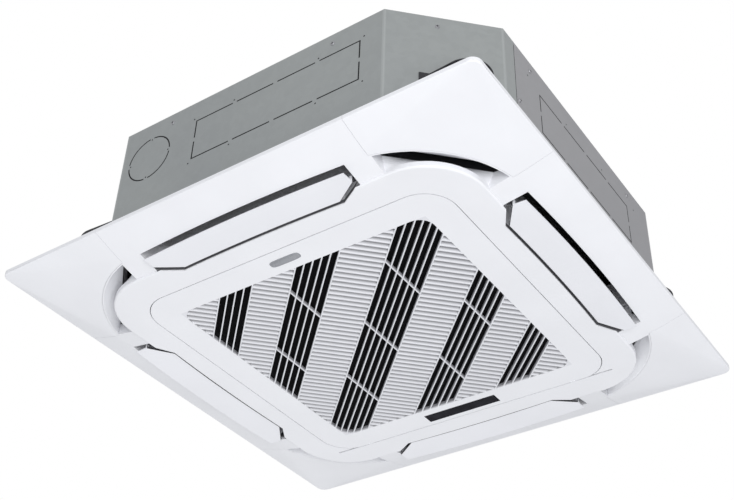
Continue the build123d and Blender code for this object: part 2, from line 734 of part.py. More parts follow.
def make_filter_frame():
    half = GRILLE / 2 - GAP
    top = FILTER_Z + FILTER_H
    frame = prism(rounded(half, GRILLE_R - GAP), FILTER_Z, top)
    inside = rounded(half - FILTER_BORDER, GRILLE_R - FILTER_BORDER)
    frame -= prism(inside, FILTER_Z - EPS, top + EPS)
    step = 2 * half / (FILTER_BARS + 1)
    for i in range(FILTER_BARS):
        place = -half + (i + 1) * step
        low = MESH_T + FILTER_Z
        frame += block(place - FILTER_BAR_W / 2, place + FILTER_BAR_W / 2, -half + EPS, half - EPS, low, top)
        frame += block(-half + EPS, half - EPS, place - FILTER_BAR_W / 2, place + FILTER_BAR_W / 2, low, top)
    return frame


def make_filter_mesh():
    half = GRILLE / 2 - GAP - FILTER_BORDER
    return prism(rounded(half, GRILLE_R - FILTER_BORDER), FILTER_Z, FILTER_Z + MESH_T)


def make_door_catch():
    """Spring catch on the front wall of the well."""
    depth = WELL_GAP - DOOR_GAP
    z0 = FACE_Z + DOOR_EDGE_H
    catch = block(CATCH_X - CATCH_W / 2, CATCH_X + CATCH_W / 2, -WELL, -WELL + depth / 2, z0, z0 + CATCH_W)
    nose = rod(CATCH_NOSE_R, (CATCH_X - CATCH_W / 2, -WELL + depth / 2, z0 + CATCH_NOSE_R),
               (CATCH_X + CATCH_W / 2, -WELL + depth / 2, z0 + CATCH_NOSE_R))
    return catch + nose


# ---------------------------------------------------------------------------------------------------
# Casing
# ---------------------------------------------------------------------------------------------------
def body_outline(inset=0.0):
    return octagon(HALF - inset, BODY_CHAMFER - inset * (2 - sqrt(2)))


def up(rise):
    """Level at a given height above the body's bottom."""
    return BODY_BOTTOM_Z + rise


def make_casing_top():
    top = prism(body_outline(), BODY_TOP_Z - SHEET, BODY_TOP_Z)
    top = fillet(top.faces().sort_by(Axis.Z)[-1].edges(), SHEET * 0.8)
    lip = prism(body_outline(SHEET), BODY_TOP_Z - TOP_LIP, BODY_TOP_Z - SHEET)
    return top + (lip - prism(body_outline(2 * SHEET), BODY_TOP_Z - TOP_LIP - EPS, BODY_TOP_Z - SHEET))


def casing_wall():
    """All the walls of the casing with the flange turned in at the bottom."""
    wall = prism(body_outline(), BODY_BOTTOM_Z, BODY_TOP_Z - SHEET)
    wall -= prism(body_outline(SHEET), BODY_BOTTOM_Z + SHEET, BODY_TOP_Z)
    return wall - prism(body_outline(BOTTOM_LIP), BODY_BOTTOM_Z - EPS, BODY_BOTTOM_Z + SHEET + EPS)


def round_knockout():
    """Slots round the knock-out disc on the front side."""
    centre = Plane(origin=(KNOCK_X, -HALF - EPS, up(KNOCK_RISE)), x_dir=(1, 0, 0), z_dir=(0, 1, 0))
    loop = Circle(KNOCK_R) - Circle(KNOCK_R - KNOCK_SLOT)
    for angle in (0, 90):
        loop -= Rot(0, 0, angle) * Rectangle(3 * KNOCK_R, KNOCK_TAB)
    return extrude(centre * loop, amount=SHEET + 2 * EPS)


def window_knockout(edges):
    """Slots round a rectangular knock-out on the front side, between its tabs."""
    left, right, low, high = edges
    middle = (left + right) / 2
    y0 = -HALF - EPS
    y1 = -HALF + SHEET + EPS
    outer = block(left, right, y0, y1, up(low), up(high))
    slots = outer - block(left + KNOCK_SLOT, right - KNOCK_SLOT, y0, y1, up(low) + KNOCK_SLOT,
                          up(high) - KNOCK_SLOT)
    for i in (-1, 0, 1):
        x = middle + i * TAB_STEP
        slots -= block(x - KNOCK_TAB / 2, x + KNOCK_TAB / 2, y0, y1, up(low) - EPS, up(high) + EPS)
    z = up((low + high) / 2)
    return slots - block(left - EPS, right + EPS, y0, y1, z - KNOCK_TAB / 2, z + KNOCK_TAB / 2)


def seam_y():
    return -HALF + BODY_CHAMFER + SEAM_FLANGE


def make_casing_front():
    sheet = casing_wall() & block(-HALF, HALF, -HALF, seam_y(), BODY_BOTTOM_Z, BODY_TOP_Z)
    return sheet - [round_knockout(), window_knockout(FRONT_WINDOW)]


def make_casing_rear():
    sheet = casing_wall() & block(-HALF, HALF, seam_y() + SEAM, HALF, BODY_BOTTOM_Z, BODY_TOP_Z)
    sheet -= Rot(0, 0, 90) * window_knockout(RIGHT_WINDOW)
    sheet -= block(-HALF - EPS, -HALF + SHEET + EPS, *pipe_window(0))
    return sheet - rod(GROMMET_R, (-HALF - EPS, GROMMET_Y, up(GROMMET_RISE)),
                       (-HALF + SHEET + EPS, GROMMET_Y, up(GROMMET_RISE)))


def pipe_window(grow):
    """Y and Z limits of the opening for the pipes on the left side."""
    y0, y1, low, high = PIPE_COVER
    return y0 - grow, y1 + grow, up(low) - grow, up(high) + grow


def make_pipe_cover():
    cover = block(-HALF - SHEET, -HALF, *pipe_window(COVER_LAP))
    for y, rise, radius in ((HEADER_Y, GAS_RISE, GAS_UNION_R * NUT_WIDTH),
                            (LIQUID_Y, LIQUID_RISE, LIQUID_UNION_R * NUT_WIDTH),
                            (DRAIN_Y, DRAIN_RISE, DRAIN_R + DRAIN_SHOULDER)):
        cover -= rod(radius + PIPE_HOLE_GAP, (-HALF - SHEET - EPS, y, up(rise)), (-HALF + EPS, y, up(rise)))
    return cover


def make_casing_liner():
    inset = 2 * SHEET + GAP
    low = up(PAN_H)
    high = BODY_TOP_Z - SHEET - GAP
    liner = prism(body_outline(inset), low, high) - prism(body_outline(inset + LINER_T), low - EPS, high + EPS)
    y0, y1, z0, z1 = pipe_window(0)
    liner -= block(-HALF, -HALF + inset + LINER_T + EPS, y0, y1, z0, z1)
    return liner - rod(GROMMET_R, (-HALF, GROMMET_Y, up(GROMMET_RISE)),
                       (-HALF + inset + LINER_T + EPS, GROMMET_Y, up(GROMMET_RISE)))


def make_top_insulation():
    high = BODY_TOP_Z - SHEET
    foam = prism(body_outline(2 * SHEET + 2 * GAP + LINER_T), high - TOP_FOAM_T, high)
    return foam - prism(Circle(TOP_FOAM_HOLE_R), high - TOP_FOAM_T - EPS, high + EPS)


def make_drain_pan():
    """Foam pan with the bell mouth's hole, four outlets, four corner slits and the coil's water groove."""
    top = up(PAN_H)
    pan = prism(body_outline(SHEET + GAP), BODY_BOTTOM_Z + SHEET, top)
    pan -= prism(body_outline(BOTTOM_LIP + GAP), BODY_BOTTOM_Z - EPS, BODY_BOTTOM_Z + SHEET)
    pan += prism(body_outline(BOTTOM_LIP + GAP), BODY_BOTTOM_Z, BODY_BOTTOM_Z + SHEET)
    pan -= prism(Circle(PAN_HOLE_R), BODY_BOTTOM_Z - EPS, top + EPS)
    outlet = block(-PAN_OUTLET_HALF, PAN_OUTLET_HALF, -RING_END, -RING_END + PAN_OUTLET_W,
                   BODY_BOTTOM_Z - EPS, top + EPS)
    pan -= around(outlet)
    pan -= around(prism(slot_slit(), BODY_BOTTOM_Z - EPS, top + EPS))
    groove = rounded(GROOVE_OUT, COIL_R + GROOVE_OUT - COIL_OUT)
    pan -= prism(groove, up(PAN_FLOOR), top + EPS) - prism(rounded(GROOVE_IN, GROOVE_R), BODY_BOTTOM_Z, top + EPS)
    sump = Pos(PUMP_X, PUMP_Y) * Circle(PUMP_R + SUMP_GAP)
    return pan - prism(sump, up(PAN_FLOOR - SUMP_DEPTH), top + EPS)


# ---------------------------------------------------------------------------------------------------
# Coil, pipes and drain
# ---------------------------------------------------------------------------------------------------
def coil_middle():
    return COIL_OUT - COIL_T / 2


def make_heat_exchanger():
    low = up(PAN_FLOOR)
    coil = prism(rounded(COIL_OUT, COIL_R), low, low + COIL_H)
    coil -= prism(rounded(COIL_OUT - COIL_T, COIL_R - COIL_T), low - EPS, low + COIL_H + EPS)
    coil -= block(-HALF, COIL_END_X, COIL_END_Y, HALF, low - EPS, low + COIL_H + EPS)
    return coil


def end_plate(x, y, across_x):
    """Sheet on one end of the coil, a little wider than the fins."""
    low = up(PAN_FLOOR)
    half = COIL_T / 2 + END_PLATE_GROW
    if across_x:
        return block(x - half, x + half, y, y + END_PLATE_T, low, low + COIL_H)
    return block(x - END_PLATE_T, x, y - half, y + half, low, low + COIL_H)


def make_end_plates():
    left = end_plate(-coil_middle(), COIL_END_Y, True)
    rear = end_plate(COIL_END_X, coil_middle(), False)
    return Compound([left, rear])


def make_return_bends():
    """Hairpin ends of the tubes on the coil's rear end plate."""
    bends = []
    x = COIL_END_X - END_PLATE_T
    for i in range(TUBE_ROWS):
        z = up(PAN_FLOOR) + (i + 0.5) * TUBE_STEP
        plane = Plane(origin=(x, coil_middle() - TUBE_PAIR / 2, z), x_dir=(0, 1, 0), z_dir=(-1, 0, 0))
        start = plane * Circle(TUBE_R)
        axis = Axis((x, coil_middle(), z), (0, 0, -1))
        bends.append(revolve(start, axis=axis, revolution_arc=180))
    return Compound(bends)


def make_suction_header():
    x = -coil_middle()
    low = up(PAN_FLOOR) + TUBE_STEP
    high = low + (TUBE_ROWS - 1) * TUBE_STEP
    header = prism(Pos(x, HEADER_Y) * Circle(HEADER_R), low - HEADER_R, high)
    for i in range(TUBE_ROWS - 1):
        z = low + (i + 0.25) * TUBE_STEP
        header += rod(TUBE_R, (x, COIL_END_Y + END_PLATE_T, z), (x, HEADER_Y, z))
    return header


def make_gas_pipe():
    z = up(GAS_RISE)
    return rod(GAS_R, (-coil_middle() - HEADER_R + EPS, HEADER_Y, z), (-HALF + UNION_NUT_L, HEADER_Y, z)) - \
        prism(Pos(-coil_middle(), HEADER_Y) * Circle(HEADER_R), up(0), BODY_TOP_Z)


def make_liquid_pipe():
    """Liquid pipe with its distributor and the feed into the coil."""
    x = -coil_middle()
    low = up(GAS_RISE) - DISTRIBUTOR_H
    z = up(LIQUID_RISE)
    bend = (z - up(GAS_RISE)) / 2
    body = prism(Pos(x, LIQUID_Y) * Circle(DISTRIBUTOR_R), low, low + DISTRIBUTOR_H)
    route = FilletPolyline((x, LIQUID_Y, up(GAS_RISE)), (x, LIQUID_Y, z), (-HALF + UNION_NUT_L, LIQUID_Y, z),
                           radius=bend)
    riser = sweep(Plane(origin=route @ 0, z_dir=route % 0) * Circle(LIQUID_R), path=route)
    feed_z = up(FEED_RISE)
    feed = FilletPolyline((x, LIQUID_Y, low), (x, LIQUID_Y, feed_z), (x, COIL_END_Y + END_PLATE_T, feed_z),
                          radius=bend)
    return body + riser + sweep(Plane(origin=feed @ 0, z_dir=feed % 0) * Circle(LIQUID_R), path=feed)


def make_union(y, rise, radius, bore):
    """Flare union on the end of a pipe: hexagon inside the cover and a round nose outside."""
    x0 = -HALF + UNION_NUT_L
    z = up(rise)
    plane = Plane(origin=(x0, y, z), x_dir=(0, 1, 0), z_dir=(-1, 0, 0))
    nut = extrude(plane * RegularPolygon(radius * NUT_WIDTH, 6), amount=UNION_NUT_L + SHEET + UNION_PROUD)
    nose = rod(radius, (x0, y, z), (-HALF - UNION_OUT, y, z))
    hole = rod(bore, (-HALF - UNION_OUT - EPS, y, z), (-HALF - UNION_OUT / 2, y, z))
    return nut + nose - hole


def make_drain_pump():
    low = up(PUMP_LOW)
    body = prism(Pos(PUMP_X, PUMP_Y) * Circle(PUMP_R), low + PUMP_H / 3, low + PUMP_H)
    foot = prism(Pos(PUMP_X, PUMP_Y) * Circle(PUMP_FOOT_R), low, low + PUMP_H / 3)
    return body + foot


def make_pump_bracket():
    """Arms from the pump's collar out to the chamfered wall's foam."""
    low = up(PUMP_LOW) + PUMP_H / 2
    high = low + PUMP_ARM_T
    collar = prism(Pos(PUMP_X, PUMP_Y) * Circle(PUMP_R + PUMP_COLLAR_W), low, high)
    collar -= prism(Pos(PUMP_X, PUMP_Y) * Circle(PUMP_R + GAP), low - EPS, high + EPS)
    reach = (2 * HALF - BODY_CHAMFER) / sqrt(2) - (2 * SHEET + 2 * GAP + LINER_T)
    start = hypot(PUMP_X, PUMP_Y) + PUMP_R + EPS
    return collar + Rot(0, 0, 135) * block(start, reach, -PUMP_ARM_W / 2, PUMP_ARM_W / 2, low, high)


def make_drain_hose():
    start = (PUMP_X, PUMP_Y, up(PUMP_LOW) + PUMP_H)
    z = up(DRAIN_RISE)
    route = FilletPolyline(start, (PUMP_X, PUMP_Y, z), (PUMP_X - PUMP_R, DRAIN_Y, z), (-HALF + UNION_NUT_L, DRAIN_Y, z),
                           radius=HOSE_BEND_R)
    section = Plane(origin=route @ 0, z_dir=route % 0) * (Circle(HOSE_R) - Circle(HOSE_BORE_R))
    return sweep(section, path=route)


def make_drain_socket():
    z = up(DRAIN_RISE)
    x0 = -HALF + UNION_NUT_L
    tube = rod(DRAIN_R, (x0, DRAIN_Y, z), (-HALF - DRAIN_OUT, DRAIN_Y, z))
    tube += rod(DRAIN_R + DRAIN_SHOULDER, (x0, DRAIN_Y, z), (-HALF - SHEET - UNION_PROUD, DRAIN_Y, z))
    return tube - rod(DRAIN_BORE_R, (x0 - 3, DRAIN_Y, z), (-HALF - DRAIN_OUT - EPS, DRAIN_Y, z)) - \
        rod(HOSE_BORE_R, (x0 + EPS, DRAIN_Y, z), (x0 - 4, DRAIN_Y, z))


def make_float_switch():
    low = up(PAN_FLOOR) + FLOAT_R / 2
    arm_z = up(PUMP_LOW) + PUMP_H / 2 + PUMP_ARM_T
    y0 = PUMP_Y + PUMP_R + EPS
    ball = prism(Pos(FLOAT_X, FLOAT_Y) * Circle(FLOAT_R), low, low + 2 * FLOAT_R)
    stem = prism(Pos(FLOAT_X, FLOAT_Y) * Circle(FLOAT_R / 4), low, arm_z)
    arm = block(PUMP_X - FLOAT_R, FLOAT_X + FLOAT_R / 2, y0, FLOAT_Y + FLOAT_R / 2, arm_z, arm_z + BRACKET_T)
    return ball + stem + arm


# ---------------------------------------------------------------------------------------------------
# Fan and motor
# ---------------------------------------------------------------------------------------------------
def turned_profile(edges):
    return revolve(Plane.XZ * make_face(edges), axis=Axis.Z)


def make_bell_mouth():
    low = BODY_BOTTOM_Z - BELL_T
    lip = up(FAN_LOW) + BELL_OVERLAP
    mid_r = BELL_THROAT_R + (PAN_HOLE_R - BELL_THROAT_R) * 0.29
    mid_z = low + (lip - low) * 0.32
    curve_end = PAN_HOLE_R - BELL_T
    return turned_profile([
        Line((BELL_FLANGE_R, low), (curve_end, low)),
        ThreePointArc((curve_end, low), (mid_r, mid_z), (BELL_THROAT_R, lip)),
        Line((BELL_THROAT_R, lip), (BELL_THROAT_R + BELL_T, lip)),
        ThreePointArc((BELL_THROAT_R + BELL_T, lip), (mid_r + BELL_T * 0.8, mid_z + BELL_T * 0.8),
                      (curve_end, low + BELL_T)),
        Line((curve_end, low + BELL_T), (BELL_FLANGE_R, low + BELL_T)),
        Line((BELL_FLANGE_R, low + BELL_T), (BELL_FLANGE_R, low)),
    ])


def fan_blade():
    """One backward curved blade in plan: a curved strip swept back from its root to the rim."""
    half = FAN_BLADE_T / 2
    sweep_angle = radians(BLADE_SWEEP)
    tip_r = FAN_R - half

    def polar(radius, angle):
        return radius * cos(angle), radius * sin(angle)

    mid_r = (BLADE_ROOT_R + tip_r) / 2 + 4
    inner = [polar(BLADE_ROOT_R, 0.0), polar(mid_r, -sweep_angle * 0.42), polar(tip_r, -sweep_angle)]
    outer = [polar(BLADE_ROOT_R + FAN_BLADE_T / 2, half * 2 / BLADE_ROOT_R),
             polar(mid_r + half, -sweep_angle * 0.42 + FAN_BLADE_T / mid_r), polar(tip_r, -sweep_angle + 2 * half / tip_r)]
    return make_face([
        ThreePointArc(*inner),
        Line(inner[2], outer[2]),
        ThreePointArc(outer[2], outer[1], outer[0]),
        Line(outer[0], inner[0]),
    ])


def make_turbo_fan():
    top = up(FAN_TOP)
    low = up(FAN_LOW)
    shoulder = up(FAN_SHOULDER)
    mid = (FAN_INLET_R + (FAN_R - FAN_INLET_R) * 0.28, low + (shoulder - low) * 0.62)
    shroud = turned_profile([
        ThreePointArc((FAN_INLET_R, low), mid, (FAN_R, shoulder)),
        Line((FAN_R, shoulder), (FAN_R, shoulder + FAN_WALL)),
        ThreePointArc((FAN_R, shoulder + FAN_WALL), (mid[0] - FAN_WALL * 0.8, mid[1] + FAN_WALL * 0.8),
                      (FAN_INLET_R - FAN_WALL, low)),
        Line((FAN_INLET_R - FAN_WALL, low), (FAN_INLET_R, low)),
    ])
    dome_low = up(DOME_LOW)
    bow = ((DOME_R + DOME_NOSE_R) / 2 + 8, (top + dome_low) / 2 - 12)
    back = turned_profile([
        Line((FAN_R, top), (DOME_R, top)),
        ThreePointArc((DOME_R, top), bow, (DOME_NOSE_R, dome_low)),
        Line((DOME_NOSE_R, dome_low), (SHAFT_R + PIN_FIT, dome_low)),
        Line((SHAFT_R + PIN_FIT, dome_low), (SHAFT_R + PIN_FIT, dome_low + HUB_L)),
        Line((SHAFT_R + PIN_FIT, dome_low + HUB_L), (HUB_R, dome_low + HUB_L)),
        Line((HUB_R, dome_low + HUB_L), (HUB_R, dome_low + FAN_PLATE_T)),
        Line((HUB_R, dome_low + FAN_PLATE_T), (DOME_NOSE_R, dome_low + FAN_PLATE_T)),
        ThreePointArc((DOME_NOSE_R, dome_low + FAN_PLATE_T), (bow[0] - FAN_PLATE_T * 0.7, bow[1] + FAN_PLATE_T * 0.7),
                      (DOME_R - FAN_PLATE_T, top + FAN_PLATE_T)),
        Line((DOME_R - FAN_PLATE_T, top + FAN_PLATE_T), (FAN_R, top + FAN_PLATE_T)),
        Line((FAN_R, top + FAN_PLATE_T), (FAN_R, top)),
    ])
    room = turned_profile([
        Line((BLADE_ROOT_R - FAN_BLADE_T, top + EPS), (FAN_R, top + EPS)),
        Line((FAN_R, top + EPS), (FAN_R, shoulder + EPS)),
        ThreePointArc((FAN_R, shoulder + EPS), (mid[0] - 1, mid[1] + 1), (FAN_INLET_R - 1, low + EPS)),
        Line((FAN_INLET_R - 1, low + EPS), (BLADE_ROOT_R - FAN_BLADE_T, top - (top - low) / 2)),
        Line((BLADE_ROOT_R - FAN_BLADE_T, top - (top - low) / 2), (BLADE_ROOT_R - FAN_BLADE_T, top + EPS)),
    ])
    blade = prism(fan_blade(), low, top + 2 * EPS) & room
    blades = [Rot(0, 0, 360 / BLADES * i) * blade for i in range(BLADES)]
    return shroud.fuse(back, *blades)


def make_motor_shaft():
    return prism(Circle(SHAFT_R), up(SHAFT_LOW), up(SHAFT_LOW + SHAFT_L))


def make_fan_nut():
    high = up(DOME_LOW)
    nut = prism(RegularPolygon(NUT_R + 2, 6), high - NUT_H, high)
    return nut - prism(Circle(SHAFT_R + PIN_FIT), high - NUT_H - EPS, high + EPS)


def make_fan_motor():
    low = up(MOTOR_LOW)
    motor = prism(Circle(MOTOR_HOUSING_R), low, low + MOTOR_H)
    motor = fillet(motor.edges().filter_by(GeomType.CIRCLE), FOLD_R * 2)
    lug_top = BODY_TOP_Z - SHEET - MOUNT_PLATE_T - FOOT_H
    for angle in (45, 135, 225, 315):
        motor += Rot(0, 0, angle) * block(MOTOR_HOUSING_R - 6, FOOT_AT + FOOT_R, -FOOT_R, FOOT_R,
                                          lug_top - FOOT_LUG_T, lug_top)
    return motor - prism(Circle(SHAFT_R + PIN_FIT), low - EPS, low + MOTOR_BORE_L + 6)


def make_motor_feet():
    high = BODY_TOP_Z - SHEET - MOUNT_PLATE_T
    return Compound([Rot(0, 0, angle) * prism(Pos(FOOT_AT, 0) * Circle(FOOT_R), high - FOOT_H, high)
                     for angle in (45, 135, 225, 315)])


def make_motor_bracket():
    high = BODY_TOP_Z - SHEET
    plate = prism(Circle(MOUNT_PLATE / 2), high - MOUNT_PLATE_T, high)
    return plate - prism(Circle(MOTOR_HOUSING_R / 2), high - MOUNT_PLATE_T - EPS, high + EPS)


# ---------------------------------------------------------------------------------------------------
# Control box
# ---------------------------------------------------------------------------------------------------
def make_control_box():
    x0, x1 = CONTROL_X
    high = BODY_BOTTOM_Z - BELL_T
    low = high - CONTROL_H
    tray = block(x0, x1, -CONTROL_HALF, CONTROL_HALF, low, high)
    return tray - block(x0 + CONTROL_WALL, x1 - CONTROL_WALL, -CONTROL_HALF + CONTROL_WALL,
                        CONTROL_HALF - CONTROL_WALL, low - EPS, high - CONTROL_WALL)


def make_control_cover():
    x0, x1 = CONTROL_X
    low = BODY_BOTTOM_Z - BELL_T - CONTROL_H
    return block(x0, x1, -CONTROL_HALF, CONTROL_HALF, low - CONTROL_WALL, low)


def make_control_board():
    """Board on its spacers under the tray's top, with its larger parts."""
    x0, x1 = CONTROL_X
    high = BODY_BOTTOM_Z - BELL_T - CONTROL_WALL
    board_z = high - BOARD_RISE
    margin = 8
    board = block(x0 + margin, x1 - margin, -CONTROL_HALF + margin, CONTROL_HALF / 3, board_z - BOARD_T, board_z)
    for x in (x0 + 2 * margin, x1 - 2 * margin):
        for y in (-CONTROL_HALF + 2 * margin, CONTROL_HALF / 3 - margin):
            board += prism(Pos(x, y) * Circle(3), board_z, high)
    for i in range(5):
        y = -CONTROL_HALF + 30 + i * 40
        board += block(x0 + 20, x0 + 38, y, y + 18, board_z - BOARD_T - 9, board_z - BOARD_T)
    return board


def make_terminal_block():
    x0, x1 = CONTROL_X
    high = BODY_BOTTOM_Z - BELL_T - CONTROL_WALL
    y0 = CONTROL_HALF / 2
    base = block(x0 + 12, x1 - 12, y0, y0 + 24, high - 16, high)
    pitch = (x1 - x0 - 24) / 5
    for i in range(5):
        base -= block(x0 + 14 + i * pitch, x0 + 10 + (i + 1) * pitch, y0 + 4, y0 + 20, high - 17, high - 10)
    return base


def make_run_capacitor():
    x0, x1 = CONTROL_X
    high = BODY_BOTTOM_Z - BELL_T - CONTROL_WALL
    y0 = CONTROL_HALF / 2 + 40
    return block(x0 + 14, x1 - 14, y0, y0 + 34, high - 24, high)


def make_cable_grommet():
    z = up(GROMMET_RISE)
    body = rod(GROMMET_R, (-HALF + SHEET, GROMMET_Y, z), (-HALF, GROMMET_Y, z))
    flange = rod(GROMMET_R + 3, (-HALF, GROMMET_Y, z), (-HALF - 3, GROMMET_Y, z))
    return body + flange - rod(GROMMET_HOLE_R, (-HALF + SHEET + EPS, GROMMET_Y, z), (-HALF - 3 - EPS, GROMMET_Y, z))


# ---------------------------------------------------------------------------------------------------
# Hanger brackets
# ---------------------------------------------------------------------------------------------------
def make_hanger_bracket():
    """Front right bracket: a flange on the chamfered wall, a round tongue with its slot and a tab below."""
    cx = HANGER_X / 2
    cy = -HANGER_Y / 2
    wall_at = (2 * HALF - BODY_CHAMFER) / sqrt(2)
    half = BRACKET_W / 2
    flange = block(wall_at, wall_at + BRACKET_T, -half, half, BODY_BOTTOM_Z + BRACKET_T, BRACKET_RISE)
    tab_reach = BOLT_AT * sqrt(2) + BOSS_R
    tab = block(wall_at, tab_reach, -half / 2, half / 2, BODY_BOTTOM_Z + BRACKET_T, BODY_BOTTOM_Z + 2 * BRACKET_T)
    bracket = Rot(0, 0, -45) * (flange + tab)
    tip_x, tip_y = HANGER_TONGUE_AT
    tongue = make_hull((Pos(cx + tip_x, cy - tip_y) * Circle(HANGER_TONGUE_R)).edges() +
                       (Rot(0, 0, -45) * Pos(wall_at + 1, 0) * Rectangle(2, BRACKET_W)).edges())
    inside = prism(octagon(HALF, BODY_CHAMFER), -EPS, BRACKET_T + EPS)
    bracket += prism(tongue, 0, BRACKET_T) - inside
    slot = Pos(cx, cy) * SlotOverall(HANGER_SLOT_L, HANGER_SLOT_W)
    bracket -= prism(slot, -EPS, BRACKET_T + EPS)
    return bracket - prism(Pos(BOLT_AT, -BOLT_AT) * Circle(BOLT_R + BOLT_HOLE_GAP), BODY_BOTTOM_Z, BODY_BOTTOM_Z + 10)


# ---------------------------------------------------------------------------------------------------
# All pieces
# ---------------------------------------------------------------------------------------------------
SIDES = ("front", "right", "rear", "left")
CORNERS = ("front_right", "rear_right", "rear_left", "front_left")


def other_brackets(bracket):
    """The other three brackets are mirror images, because the bolt pitch isn't square."""
    rear_right = mirror(bracket, Plane.XZ)
    return bracket, rear_right, mirror(rear_right, Plane.YZ), mirror(bracket, Plane.YZ)


def build():
    save("casing_top", make_casing_top())
    save("casing_front_sheet", make_casing_front())
    save("casing_rear_sheet", make_casing_rear())
    save("casing_liner", make_casing_liner())
    save("top_insulation", make_top_insulation())
    save("drain_pan", make_drain_pan())
    save("heat_exchanger", make_heat_exchanger())
    save("coil_end_plates", make_end_plates())
    save("return_bends", make_return_bends())
    save("suction_header", make_suction_header())
    save("gas_pipe", make_gas_pipe())
    save("liquid_pipe", make_liquid_pipe())
    save("gas_union", make_union(HEADER_Y, GAS_RISE, GAS_UNION_R, GAS_R))
    save("liquid_union", make_union(LIQUID_Y, LIQUID_RISE, LIQUID_UNION_R, LIQUID_R))
    save("pipe_cover", make_pipe_cover())
    save("drain_pump", make_drain_pump())
    save("pump_bracket", make_pump_bracket())
    save("float_switch", make_float_switch())
    save("drain_hose", make_drain_hose())
    save("drain_socket", make_drain_socket())
    save("bell_mouth", make_bell_mouth())
    save("turbo_fan", make_turbo_fan())
    save("motor_shaft", make_motor_shaft())
    save("fan_nut", make_fan_nut())
    save("fan_motor", make_fan_motor())
    save("motor_feet", make_motor_feet())
    save("motor_bracket", make_motor_bracket())
    save("control_box", make_control_box())
    save("control_box_cover", make_control_cover())
    save("control_board", make_control_board())
    save("terminal_block", make_terminal_block())
    save("run_capacitor", make_run_capacitor())
    save("cable_grommet", make_cable_grommet())
    save("panel_frame", make_panel_frame())
    save("inner_gasket", make_inner_gasket())
    save("outer_gasket", make_outer_gasket())
    save("panel_bolts", Compound(around(make_panel_bolt())))
    save("flap_bushes", Compound(around(make_flap_bush())))
    catch = make_door_catch()
    save("door_catches", Compound([catch, mirror(catch, Plane.YZ)]))
    for corner, bracket in zip(CORNERS, other_brackets(make_hanger_bracket())):
        save(f"hanger_bracket_{corner}", bracket)
    for corner, cover in zip(CORNERS, around(make_corner_cover())):
        save(f"corner_cover_{corner}", cover)
    for side, motor in zip(SIDES, around(make_flap_motor())):
        save(f"flap_motor_{side}", motor)
    for side, flap in zip(SIDES, around(make_flap())):
        save(f"flap_{side}", flap)
    save("intake_grille", make_intake_grille())
    save("filter_frame", make_filter_frame())
    save("filter_mesh", make_filter_mesh())
    save("display_window", make_display_window())
    save("display_case", make_display_case())


build()
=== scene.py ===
import bmesh
import bpy
import json
from math import asin, cos, degrees, hypot, pi, radians, sin
from mathutils import Matrix, Vector


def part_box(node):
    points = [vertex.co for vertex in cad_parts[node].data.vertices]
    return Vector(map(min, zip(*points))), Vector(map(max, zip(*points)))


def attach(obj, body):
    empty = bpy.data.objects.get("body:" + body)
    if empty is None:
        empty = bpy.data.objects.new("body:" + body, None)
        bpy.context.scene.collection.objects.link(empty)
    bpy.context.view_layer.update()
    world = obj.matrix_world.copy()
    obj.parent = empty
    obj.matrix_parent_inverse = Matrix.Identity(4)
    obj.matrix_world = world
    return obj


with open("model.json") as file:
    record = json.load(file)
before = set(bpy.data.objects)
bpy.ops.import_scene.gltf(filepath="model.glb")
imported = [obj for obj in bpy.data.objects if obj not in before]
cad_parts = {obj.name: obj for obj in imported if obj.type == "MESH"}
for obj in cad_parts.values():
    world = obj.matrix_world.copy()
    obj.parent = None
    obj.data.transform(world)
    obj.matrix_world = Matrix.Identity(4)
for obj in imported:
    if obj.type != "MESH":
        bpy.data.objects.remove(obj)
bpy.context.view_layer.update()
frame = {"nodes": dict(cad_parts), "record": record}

MM = 0.001

# ---------------------------------------------------------------------------------------------------
# Faces and lines of the CAD nodes, metres. Pairs of numbers below are the start and end of a soft edge.
# ---------------------------------------------------------------------------------------------------
FACE_Z = -152 * MM                          # lower face of the grille's frame
FRONT_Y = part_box("casing_front_sheet")[0][1]
RIGHT_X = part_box("casing_rear_sheet")[1][0]
CHAMFER = 140 * MM
FOLD_NEAR, FOLD_FAR = 280 * MM, 420 * MM    # |x| and |y| of the casing's upright folds, either way round
FOLD_HIGHLIGHT = (1.8 * MM, 4.0 * MM)               # distance from a fold, over which the painted highlight fades

SLIT_RISE = (-120.5 * MM, -118.5 * MM)      # the corner slits are black above this height, painted shade
SLIT_FROM = (600 * MM, 602 * MM)            # |x| + |y|
SLIT_TO = (412 * MM, 414 * MM)              # the larger of |x| and |y|
WALL_FROM = (334 * MM, 336 * MM)            # inner wall of the outlets, the larger of |x| and |y|
WALL_TO = (372 * MM, 376 * MM)
WALL_END = (206.2 * MM, 206.6 * MM)         # the smaller of |x| and |y|
STRIP_FROM = (-150.5 * MM, -149.5 * MM)     # heights of the dark strip of painted shade on that wall
STRIP_TO = (-143.5 * MM, -142.5 * MM)

FLAP_NOSE = ((157.5 * MM, 348.8 * MM),      # ends of a flap's slanted corner: along its side, from the middle
             (201.0 * MM, 378.0 * MM))
FLAP_BOW = 3.47 * MM                        # bow of the flaps' inner edge
EDGE_W = 1.2 * MM                           # dark strip of painted shade along the inner edge
NOSE_W = 0.8 * MM                           # and along the slanted corners
EDGE_SOFT = 0.2 * MM

GRILLE_EDGE = (251.5 * MM, 253.0 * MM)      # the grille's opening, the larger of |x| and |y|
BAR_RISE = (-151.9 * MM, -146.8 * MM)       # from the bars' lower edges to their shaded part

TOP_FACE = (152.2 * MM, 152.8 * MM)
RING_R = 155 * MM                           # the top plate's round bead
RING_SOFT = (4 * MM, 9 * MM)                # distance from the bead's middle line
ARM_SOFT = (6 * MM, 13 * MM)
ARM_FROM = (190 * MM, 205 * MM)             # the straight beads' ends, from the fan's axis
ARM_TO = (400 * MM, 415 * MM)


